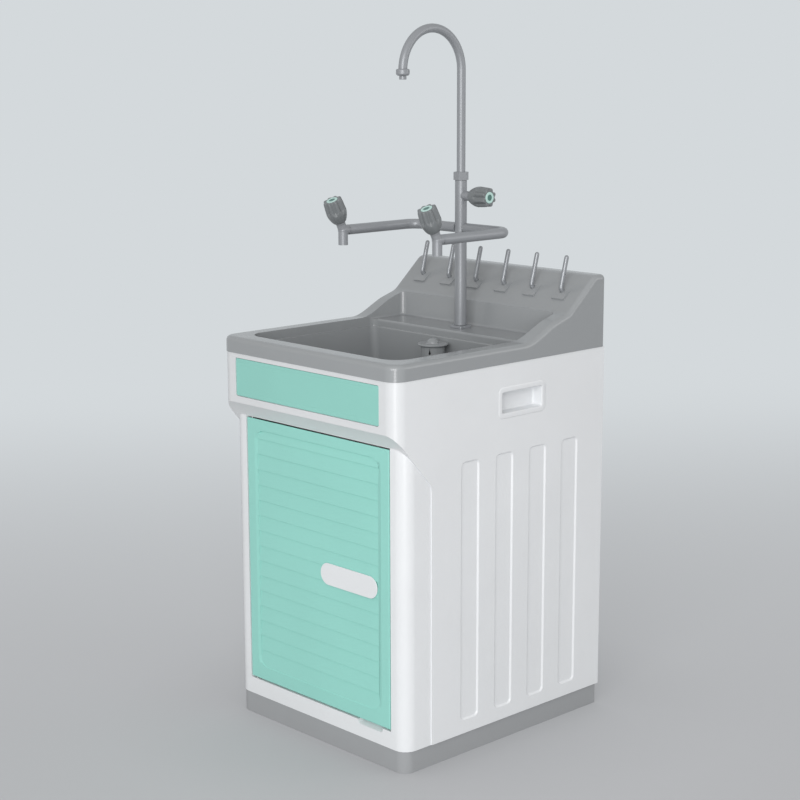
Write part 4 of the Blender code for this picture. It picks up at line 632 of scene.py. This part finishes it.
def worktop_well():
    """All that is open from above: the console's drafted well, the lip under the deck, the basin."""
    draft, floor_radius, well_corner, deck_brow, lip_brow = 0.0092, 0.005, 0.012, 0.0045, 0.0030
    plan = rounded((-BASIN_HALF, BASIN_FRONT), (BASIN_HALF, WALL_Y),
                   (well_corner, well_corner, FRONT_CORNER, FRONT_CORNER))
    well = prism("z", plan, DECK, CREST + OVER)
    for vert in well.verts:
        if vert.co.z > CREST:
            vert.co.x += draft if vert.co.x > 0 else -draft
            vert.co.y += draft if vert.co.y > 0 else 0.0
    rim = [e for e in well.edges if all(v.co.z < DECK + GAP for v in e.verts)]
    round_off(well, rim, floor_radius, segments=5)
    plan = rounded((-BASIN_HALF, BASIN_FRONT), (BASIN_HALF, BASIN_BACK),
                   (LIP_CORNER, LIP_CORNER, FRONT_CORNER, FRONT_CORNER))
    well = formed(well, ("UNION", prism("z", plan, LIP, CREST + 2 * OVER)),
                  ("UNION", basin_form(0.0, LIP + LIP_STEP)))
    for level, line, radius in ((DECK, BASIN_BACK, deck_brow), (LIP, BASIN_BACK - LIP_STEP, lip_brow)):
        brow = []
        for edge in well.edges:
            if all(abs(v.co.z - level) < GAP and abs(v.co.y - line) < GAP for v in edge.verts):
                brow.append(edge)
        round_off(well, brow, radius, segments=5)
    return well


def worktop_holes(drain, pegs):
    """The bores for the drain's flange, the tap's shank and the pegs."""
    seat, hole, step, depth = 0.0266, 0.0213, -0.003, -0.03
    shank, peg_hole, peg_depth = 0.0103, 0.0052, -0.0105
    outline = [(0, OVER), (seat, OVER), (seat, step), (hole, step), (hole, depth), (0, depth)]
    holes = [spun(outline, drain, steps=48),
             stub(Matrix.Translation((0, TAP_Y, 0)), shank, DECK + OVER, DECK - 2 * OVER, steps=32)]
    holes += [stub(place, peg_hole, OVER, peg_depth, steps=24) for place in pegs]
    return together(holes)


def worktop():
    """The grey moulding: rim, basin, tap deck, console and swept wings, with filleted corners."""
    top = wing_line()
    pegs = [facing(PEG_ENTRY + Vector((x, 0, 0)), SLOPE_OUT) for x in PEG_X]
    drain = Matrix.Translation((0, DRAIN_Y, FLOOR))
    boss, boss_top, boss_end = 0.031, -0.0025, -0.011
    drain_boss = stub(drain, boss, boss_top, boss_end, steps=48)
    bowl = formed(basin_form(SKIN, DECK - SKIN / 2), ("UNION", drain_boss))
    body = formed(worktop_body(top), ("UNION", together([pad(x) for x in PEG_X])),
                  ("DIFFERENCE", worktop_hollow(top, pegs)), ("UNION", bowl),
                  ("DIFFERENCE", worktop_well()), ("DIFFERENCE", worktop_holes(drain, pegs)))
    pads_front, pads_back, pads_low, pad_share, foot_share = 0.201, 0.245, -0.0004, 0.3, 0.35

    def weigh(edge):
        low = max(v.co.z for v in edge.verts) < SKIRT + GAP
        on_pad = all(pads_front < v.co.y < pads_back and (v.co - FOOT).dot(SLOPE_OUT) > pads_low
                     for v in edge.verts)
        return foot_share if low else (pad_share if on_pad else 1.0)

    show("worktop_moulding", body, "worktop_sink", soft=0.0018, segments=3, angle=32.0, weigh=weigh)


def knob_place(name):
    """The frame of a knob's spindle, Z along it, and how far along the knob starts."""
    below_top, column_start, valve_start, tilt = 0.032, 0.0313, 0.0191, radians(25)
    if name == "column":
        return facing((0, TAP_Y, COLUMN_TOP - below_top), (1, 0, 0)), column_start
    side = -1 if name == "left" else 1
    return facing((side * SPREAD, VALVE_Y, ARM_Z), (0, -sin(tilt), cos(tilt))), valve_start


def between(table, value):
    """A value read from a table, on straight lines between its rows."""
    for (a, low), (b, high) in zip(table, table[1:]):
        if value <= b:
            return low + (high - low) * (value - a) / (b - a)
    return table[-1][1]


def knob(name):
    """A barrel-shaped knob whose crown is cut by eight flutes that start as arches."""
    place, base = knob_place(name)
    place = place @ Matrix.Translation((0, 0, base))
    levels, top_edge, steps_per_lobe, cap_depth, cap_land = 40, 0.985, 14, 0.003, 0.001
    arch_foot, arch_rise, narrow = 0.40, 0.14, 1.2
    # Share of the knob's length, and radius in millimetres
    table = [(0.0, 12.5), (0.03, 14.1), (0.07, 15.4), (0.13, 17.0), (0.20, 18.5),
             (0.28, 19.9), (0.36, 20.9), (0.45, 21.4), (0.58, 21.5), (0.72, 21.1),
             (0.86, 20.5), (0.95, 20.0), (top_edge, 19.5), (1.0, 18.8)]
    shares = sorted([k / levels for k in range(levels + 1)] + [top_edge])
    outline = [(0.0, 0.0)] + [(between(table, share) / 1000, share * KNOB) for share in shares]
    recess = KNOB - cap_depth
    outline += [(CAP_SEAT, KNOB), (CAP_SEAT, recess), (0.0, recess)]
    bm = spun(outline, place, LOBES * steps_per_lobe)
    back = place.inverted()
    for vert in bm.verts:
        local = back @ vert.co
        reach = hypot(local.x, local.y)
        grow = min(1.0, max(0.0, (local.z / KNOB - arch_foot) / arch_rise))
        flute = (0.5 + 0.5 * cos(LOBES * atan2(local.y, local.x))) ** narrow
        cut = max(0.0, flute - (1 - grow)) * FLUTE
        if reach > CAP_SEAT + cap_land and cut > 0.0:
            left = 1 - cut / reach
            vert.co = place @ Vector((local.x * left, local.y * left, local.z))
    show(name + "_knob_fluted", bm, name + "_knob", soft=0.0004, angle=40.0)


def valve_body(name, side):
    """A cast elbow: socket, outlet and neck run into each other with soft corners."""
    pipe, bore, end, bore_top, ball_radius = 0.010, 0.007, -0.0306, -0.0146, 0.0108
    socket_radius, socket_end, neck_radius, neck_end = 0.0105, 0.0125, 0.0097, 0.0145
    steps = 40
    centre = Vector((side * SPREAD, VALVE_Y, ARM_Z))
    down = Matrix.Translation(centre)
    outlet = [(0, 0), (pipe, 0), (pipe, end), (bore, end), (bore, bore_top), (0, bore_top)]
    turns = [pi * k / 16 for k in range(17)]
    ball = [(ball_radius * sin(a), ball_radius * cos(a)) for a in turns]
    socket = stub(facing(centre, (0, 1, 0)), socket_radius, socket_end, 0, steps)
    neck = stub(knob_place(name)[0], neck_radius, neck_end, 0, steps)
    bm = formed(spun(outlet, down, steps), ("UNION", spun(ball, down, steps)),
                ("UNION", socket), ("UNION", neck))
    show(name + "_valve_elbow", bm, name + "_valve_body", soft=0.0009, segments=3, angle=22.0)


def arm(name, side):
    """A bent side arm from the column into its valve."""
    root, radius, bend_radius, short = 0.0115, 0.0105, 0.030, 0.010
    legs = [(SPREAD - bend_radius - root,), (bend_radius, (0, -1, 0), 0.5 * pi),
            (TAP_Y - bend_radius - VALVE_Y - short,)]
    bar = bent_bar((side * root, TAP_Y, ARM_Z), (side, 0, 0), radius, legs)
    show(name + "_arm_bent", bar, name + "_arm", soft=0.0004)


def gooseneck():
    """The swivel pipe."""
    low, radius, drop = 1.1279, 0.009, 0.003
    legs = [(ARCH_Z - low,), (ARCH_R, (0, -1, 0), pi), (drop,)]
    pipe = bent_bar((0, TAP_Y, low), (0, 0, 1), radius, legs)
    show("gooseneck_pipe", pipe, "gooseneck", soft=0.0003)


def standpipe():
    """Overflow pipe with its keyhole slots and the domed cap it is lifted by."""
    place = Matrix.Translation((0, DRAIN_Y, 0))
    outer, inner, plug, bore = 0.025, 0.0225, 0.017, 0.0145
    top, low, ledge, funnel = 0.7777, FLOOR - GAP - 0.024, FLOOR + 0.0025, FLOOR + 0.005
    outline = [(outer, top), (outer, FLOOR), (plug, FLOOR), (plug, low), (bore, low),
               (bore, ledge), (inner, funnel), (inner, top)]
    foot, head, half, eye = top - 0.012, top - 0.002, 0.00125, 0.0025
    start, end, first = 0.0125, 0.035, 31
    slots = []
    for k in range(4):
        turn = place @ Matrix.Rotation(radians(first + 90 * k), 4, "Z")
        slot = prism("x", [(-half, foot), (half, foot), (half, head), (-half, head)], start, end)
        slot = formed(slot, ("UNION", stub(facing((0, 0, foot), (1, 0, 0)), eye, start, end, steps=20)))
        bmesh.ops.transform(slot, matrix=turn, verts=slot.verts)
        slots.append(slot)
    pipe = formed(spun(outline, place, steps=64, ring=True), ("DIFFERENCE", together(slots)))
    show("standpipe_slotted", pipe, "standpipe", soft=0.0003)
    under, brim, spigot, spigot_end = top + GAP, 0.032, 0.0222, top + GAP - 0.007
    plate, dome_radius, dome_height = top + GAP + 0.006, 0.013, 0.0105
    collar, collar_rise, root, chamfer, edge, seat = 0.0133, 0.0006, 0.0142, 0.001, 0.0028, 0.0265
    turns = [radians(6 * k) for k in range(15)]
    cap = [(dome_radius * sin(a), plate + dome_height * cos(a)) for a in turns]
    cap += [(collar, plate + collar_rise), (root, plate), (brim - chamfer, plate),
            (brim, plate - chamfer), (brim, plate - edge), (seat, under), (spigot, under),
            (spigot, spigot_end), (0, spigot_end)]
    show("standpipe_mushroom", spun(cap, place, steps=64), "standpipe_cap", soft=0.0005, segments=3)


def trap():
    """The bottle trap's body with its outlet socket."""
    inlet, neck, bottle, chamfer = 0.021, 0.018, 0.038, 0.010
    drop, collar, shoulder, depth = 0.062, -0.0055, -0.0303, 0.080
    low = shoulder - depth
    outline = [(0, -GAP), (inlet, -GAP), (inlet, collar), (neck, collar), (neck, shoulder),
               (bottle - chamfer, shoulder), (bottle, shoulder - chamfer), (bottle, low), (0, low)]
    body = spun(outline, Matrix.Translation((0, DRAIN_Y, FLOOR - drop)), steps=48)
    out = facing((0, DRAIN_Y, WASTE_Z), (0, 1, 0))
    spigot, socket, mouth, seat = 0.0233, 0.0203, 0.062, 0.046
    bm = formed(body, ("UNION", stub(out, spigot, 0, mouth, steps=48)),
                ("DIFFERENCE", stub(out, socket, mouth, seat, steps=48)))
    show("trap_bottle", bm, "trap_body", soft=0.0008)


def fascia_plate():
    """The turquoise panel with the soft sunk rim that the photo shows."""
    low, high, face, corner = (-0.2132, 0.6926), (0.2132, 0.7694), -0.2977, 0.004
    least = 0.0008
    # Inset from the outline and depth behind the face, from the back to the rim's inner line
    profile = ((0.0, 0.003), (0.0, 0.0006), (0.0004, 0.0002), (0.001, 0.0),
               (0.0065, 0.0), (0.0075, 0.0004), (0.0088, 0.0004), (0.0098, 0.0))
    rings = []
    for inset, depth in profile:
        points = rounded((low[0] + inset, low[1] + inset), (high[0] - inset, high[1] - inset),
                         [max(corner - inset, least)] * 4, steps=6)
        rings.append([(u, face + depth, v) for u, v in points])
    show("fascia_plate", lofted(rings), "fascia_panel", finish="fascia_turquoise")


def lofted(rings):
    """A closed skin over rings of points: the first ring's face, drawn out from ring to ring."""
    bm = bmesh.new()
    cap = bm.faces.new([bm.verts.new(point) for point in rings[0]])
    for ring in rings[1:]:
        made = bmesh.ops.extrude_face_region(bm, geom=[cap] + cap.edges[:])["geom"]
        cap = next(item for item in made if isinstance(item, bmesh.types.BMFace))
        for vert, point in zip(cap.verts, ring):
            vert.co = point
    return bm


def grip(side):
    """A recessed hand grip: raised bezel that rolls over into a filleted pocket."""
    sign = -1 if side == "left" else 1
    centre, reach, corner, tighten = (0.0485, 0.7022), (0.0685, 0.032), 0.012, 0.007
    face, seat, back, shell = 0.2599, 0.2588, 0.23335, 0.009
    roll, roll_start, pocket, fillet, pinch = 0.0020, 0.0090, 0.23535, 0.004, 0.7
    wall = roll_start + roll
    # Inset from the outline and distance from the bench's middle: back, bezel, roll, pocket's fillet
    outline = [(shell, back), (shell, seat), (0.0, seat), (0.0002, 0.2590), (0.0012, 0.2594),
               (0.0024, 0.25975), (0.0038, face), (0.0084, face)]
    turns = [radians(15 * k) for k in range(7)]
    outline += [(roll_start + roll * sin(a), face - roll + roll * cos(a)) for a in turns]
    outline += [(wall + fillet - fillet * cos(a), pocket + fillet - fillet * sin(a)) for a in turns]
    rings = []
    for inset, x in outline:
        radius = corner - tighten * min(inset / wall, 1.0) - max(inset - wall, 0.0) * pinch
        half = (reach[0] - inset, reach[1] - inset)
        points = rounded((centre[0] - half[0], centre[1] - half[1]),
                         (centre[0] + half[0], centre[1] + half[1]), [radius] * 4, steps=6)
        rings.append([(sign * x, y, z) for y, z in points])
    show(side + "_grip_rolled", lofted(rings), side + "_grip_cup")


def door():
    """The turquoise door: its field sinks behind a soft slope, its louvres are cut deeper."""
    panel = solid_of("door_panel")
    face, field, louvre_end = -0.272, -0.2712, -0.2698
    edge_start, thick = -0.270, 0.016
    middle, half, near = 0.3671, (0.182, 0.2476), 1e-4
    slope, corner, deepen = 0.008, 0.02, 2.6
    right, top, bottom = 0.2110, 0.6415, 0.0860
    side_gap, top_gap, side_fall, top_fall = 0.0008, 0.0010, 0.0018, 0.006
    soft_top, top_share = 0.640, 0.3
    for vert in panel.verts:
        x, y, z = vert.co
        across = abs(x) < half[0] + near
        if abs(y - face) < near and across and abs(z - middle) < half[1] + near:
            core = Vector((max(-half[0] + corner, min(half[0] - corner, x)), y,
                           max(middle - half[1] + corner, min(middle + half[1] - corner, z))))
            vert.co += (vert.co - core).normalized() * slope
        if field - near < y < louvre_end and across:
            vert.co.y = field + deepen * (y - field)
        # Wider gaps round the door, whose right and top edges fall away towards the back
        back = max(0.0, (y - edge_start) / thick)
        if x > right:
            vert.co.x -= side_gap + side_fall * back
        if z > top:
            vert.co.z -= top_gap + top_fall * back
        if z < bottom:
            vert.co.z += side_gap

    def door_edge(edge):
        at_top = min(v.co.z for v in edge.verts) > soft_top
        return top_share if at_top else 1.0

    show("door_skin", panel, "door_panel", soft=0.0012, segments=3, angle=5.0, weigh=door_edge)


def cabinet():
    """Front frame and sides: one smooth white skin above the slope, a step between them below it."""
    near, slack, step_top, inner_share = 2e-4, 0.001, 0.564, 0.3
    inner_x, inner_y, opening_x, opening_top = 0.2525, -0.2695, 0.217, 0.6475
    scoop_left, scoop_right, scoop_back, scoop_floor, sill = 0.119, 0.193, -0.248, 0.0800, 0.0798
    skin = solid_of("front_frame")
    for vert in skin.verts:
        if abs(vert.co.y - (SEAM_Y - GAP)) < near:
            vert.co.y = SEAM_Y
        in_scoop = scoop_left < vert.co.x < scoop_right and vert.co.z < scoop_floor
        if in_scoop and abs(vert.co.y - scoop_back) < near:
            vert.co.z = sill

    def at_seam(edge):
        return all(abs(v.co.y - SEAM_Y) < 2 * near for v in edge.verts)

    def frame_edge(edge):
        inside = all(v.co.y > inner_y and abs(v.co.x) < inner_x for v in edge.verts)
        opening = all(abs(v.co.x) < opening_x and v.co.z < opening_top for v in edge.verts)
        return 0.0 if at_seam(edge) else (inner_share if inside or opening else 1.0)

    def side_edge(edge):
        flush = at_seam(edge) and all(v.co.z > step_top - slack for v in edge.verts)
        return 0.0 if flush else 1.0

    show("front_skin", skin, "front_frame", soft=0.0014, segments=3, angle=28.0, weigh=frame_edge,
         finish="front_white_painted_shade")
    for side in ("left", "right"):
        panel = solid_of(side + "_side_panel")
        bmesh.ops.bisect_plane(panel, geom=panel.verts[:] + panel.edges[:] + panel.faces[:],
                               plane_co=(0, 0, step_top), plane_no=(0, 0, 1))
        show(side + "_side_skin", panel, side + "_side_panel", soft=0.0009, segments=3, angle=28.0,
             weigh=side_edge)
        grip(side)


def tap():
    """All of the tap."""
    foot = (0, TAP_Y, 0)
    respun("tap_column", foot, soft=0.0008, steps=64, segments=3)
    respun("tap_washer", foot)
    dressed("tap_flange", soft=0.0013, segments=3)
    dressed("tap_lock_nut", soft=0.0008)
    dressed("union_nut", soft=0.0009, segments=3)
    spout = (0, TAP_Y - 2 * ARCH_R, 0)
    respun("spout_collar", spout, soft=0.0022, steps=64, segments=5)
    respun("spout_nozzle", spout, soft=0.0006)
    gooseneck()
    for name, side in (("left", -1), ("right", 1)):
        arm(name, side)
        valve_body(name, side)
    for name in ("column", "left", "right"):
        place = knob_place(name)[0]
        axis = place.to_3x3().col[2]
        knob(name)
        respun(name + "_cap_ring", place.translation, axis, soft=0.0003, steps=64,
               share=CAP_SHARE, lift=-KNOB_CUT)
        respun(name + "_cap_eye", place.translation, axis, soft=0.0003,
               share=CAP_SHARE, lift=-KNOB_CUT)
        if name == "column":
            dressed("column_valve_bonnet", soft=0.0005)
        else:
            respun(name + "_valve_bonnet", place.translation, axis, soft=0.0005)


def drain():
    """Waste outlet, trap and pipe."""
    axis = (0, DRAIN_Y, 0)
    for node in ("drain_flange", "drain_gasket", "trap_inlet_nut", "trap_cup"):
        respun(node, axis, soft=0.0008)
    waste = (0, DRAIN_Y, WASTE_Z)
    for node in ("trap_outlet_nut", "waste_pipe"):
        respun(node, waste, (0, 1, 0), soft=0.0008)
    dressed("drain_lock_nut", soft=0.0010)
    trap()
    standpipe()


def make_pieces():
    """Every CAD node, finished."""
    worktop()
    for i, x in enumerate(PEG_X):
        peg(i + 1, x)
    cabinet()
    fascia_plate()
    door()
    dressed("door_label_plate", soft=0.0007, segments=3)
    dressed("door_strike", soft=0.0004)
    dressed("door_catch", soft=0.0004)
    for node in ("hinge_pin_upper", "hinge_pin_lower"):
        respun(node, HINGE, soft=0.0003, steps=24)
    dressed("back_panel", soft=0.0008)
    dressed("base_plinth", soft=0.0015, segments=3, finish="plinth_grey")
    drain()
    tap()


def backdrop_paper(forward, aside):
    """Pale paper that brightens away from the bench, with a soft contact shade painted on its floor."""
    skew, sweep_start, sweep_end, least_glow = radians(6), -1.0, 3.7, 0.38
    dim, dim_start, dim_end = 0.89, -0.75, 0.25
    contact_reach, contact_shade, contact_start = 0.38, 0.74, 0.5
    paper_lit, paper_seen = linear(184, 185, 187), linear(208, 209, 211)
    glow_low, glow_high = linear(182, 184, 187), linear(212, 217, 220)
    g = Graph("backdrop_paper")
    along = g.node("VectorMath", operation="DOT_PRODUCT")
    along.inputs[1].default_value = forward * cos(skew) - aside * sin(skew)
    g.link(g.place, along.inputs[0])
    share = g.spread(along.outputs["Value"], 0.0, 1.0, sweep_start, sweep_end, smooth=True)
    # Painted shade: the floor's colour dims towards the near side
    front = g.spread(along.outputs["Value"], dim, 1.0, dim_start, dim_end)
    rays = g.node("LightPath")
    mirrored = g.node("Math", operation="MAXIMUM")
    g.link(rays.outputs["Is Camera Ray"], mirrored.inputs[0])
    g.link(rays.outputs["Is Glossy Ray"], mirrored.inputs[1])
    seen = g.node("Math", operation="MAXIMUM")
    g.link(mirrored.outputs[0], seen.inputs[0])
    g.link(rays.outputs["Is Transmission Ray"], seen.inputs[1])
    paper = g.tint(seen.outputs[0], paper_lit, paper_seen)
    # Painted shade: an occlusion test darkens the floor's colour near the bench, as a contact shadow
    near = g.node("AmbientOcclusion")
    near.inputs["Distance"].default_value = contact_reach
    contact = g.spread(near.outputs["AO"], contact_shade, 1.0, contact_start, 1.0)
    g.link(g.scaled(g.scaled(paper, contact), front), g.shader.inputs["Base Color"])
    g.shader.inputs["Roughness"].default_value = 0.9
    g.shader.inputs["Specular IOR Level"].default_value = 0.1
    amount = g.node("Math", operation="MULTIPLY")
    g.link(seen.outputs[0], amount.inputs[0])
    g.link(g.spread(share, least_glow, 1.0, 0.0, 1.0), amount.inputs[1])
    glow = g.node("Emission")
    g.link(g.tint(share, glow_low, glow_high), glow.inputs["Color"])
    mixed = g.node("MixShader")
    g.link(amount.outputs[0], mixed.inputs[0])
    g.link(g.shader.outputs[0], mixed.inputs[1])
    g.link(glow.outputs[0], mixed.inputs[2])
    g.link(mixed.outputs[0], g.tree.nodes["Material Output"].inputs["Surface"])
    return g.material


def make_stage():
    """A seamless sheet that sweeps up behind the bench, its floor a tone darker than its wall."""
    near, run, half_width, sweep, wall, parts = -5.0, 8.2, 9.0, 2.5, 4.5, 12
    forward = Vector((-sin(YAW), cos(YAW), 0.0))
    aside = Vector((cos(YAW), sin(YAW), 0.0))
    bm = bmesh.new()
    ends = [bm.verts.new(forward * near + aside * s) for s in (-half_width, half_width)]
    edge = bm.edges.new(ends)
    steps = [forward * run]
    for k in range(parts):
        a, b = 0.5 * pi * k / parts, 0.5 * pi * (k + 1) / parts
        steps.append(forward * sweep * (sin(b) - sin(a)) + Vector((0, 0, sweep * (cos(a) - cos(b)))))
    steps.append(Vector((0, 0, wall)))
    for step in steps:
        made = bmesh.ops.extrude_edge_only(bm, edges=[edge])["geom"]
        far = [item for item in made if isinstance(item, bmesh.types.BMVert)]
        bmesh.ops.translate(bm, verts=far, vec=step)
        edge = bm.edges.get(far)
    mesh = bpy.data.meshes.new("backdrop")
    bmesh.ops.recalc_face_normals(bm, faces=bm.faces)
    bm.to_mesh(mesh)
    bm.free()
    mesh.shade_smooth()
    obj = bpy.data.objects.new("backdrop", mesh)
    bpy.context.scene.collection.objects.link(obj)
    obj.data.materials.append(backdrop_paper(forward, aside))


def area_light(name, place, target, size, power):
    """A white soft box turned to a point."""
    data = bpy.data.lights.new(name, "AREA")
    data.shape = "RECTANGLE"
    data.size, data.size_y = size
    data.energy = power
    light = bpy.data.objects.new(name, data)
    bpy.context.scene.collection.objects.link(light)
    light.location = place
    look = Vector(target) - Vector(place)
    light.rotation_euler = look.to_track_quat("-Z", "Y").to_euler()
    light.visible_camera = False


def make_light():
    """Even studio light: a pale room, a broad box in front, a strip before the corner, a side box."""
    room, middle = 0.55, (0, 0, 0.7)
    world = bpy.data.worlds.new("studio")
    world.use_nodes = True
    back = world.node_tree.nodes["Background"]
    back.inputs["Color"].default_value = (1.0, 1.0, 1.0, 1.0)
    back.inputs["Strength"].default_value = room
    bpy.context.scene.world = world
    area_light("front_strip", place=(2.01, -2.09, 0.48), target=(0, 0, 0.48), size=(0.70, 0.94), power=10.5)
    area_light("front_box", place=(4.8, -6.95, 3.0), target=middle, size=(6.5, 5.0), power=440.0)
    area_light("side_box", place=(3.2, 2.6, 1.9), target=middle, size=(2.0, 2.0), power=13.5)
    bpy.context.scene.view_settings.view_transform = "Standard"


make_camera()
make_stage()
make_light()
make_pieces()
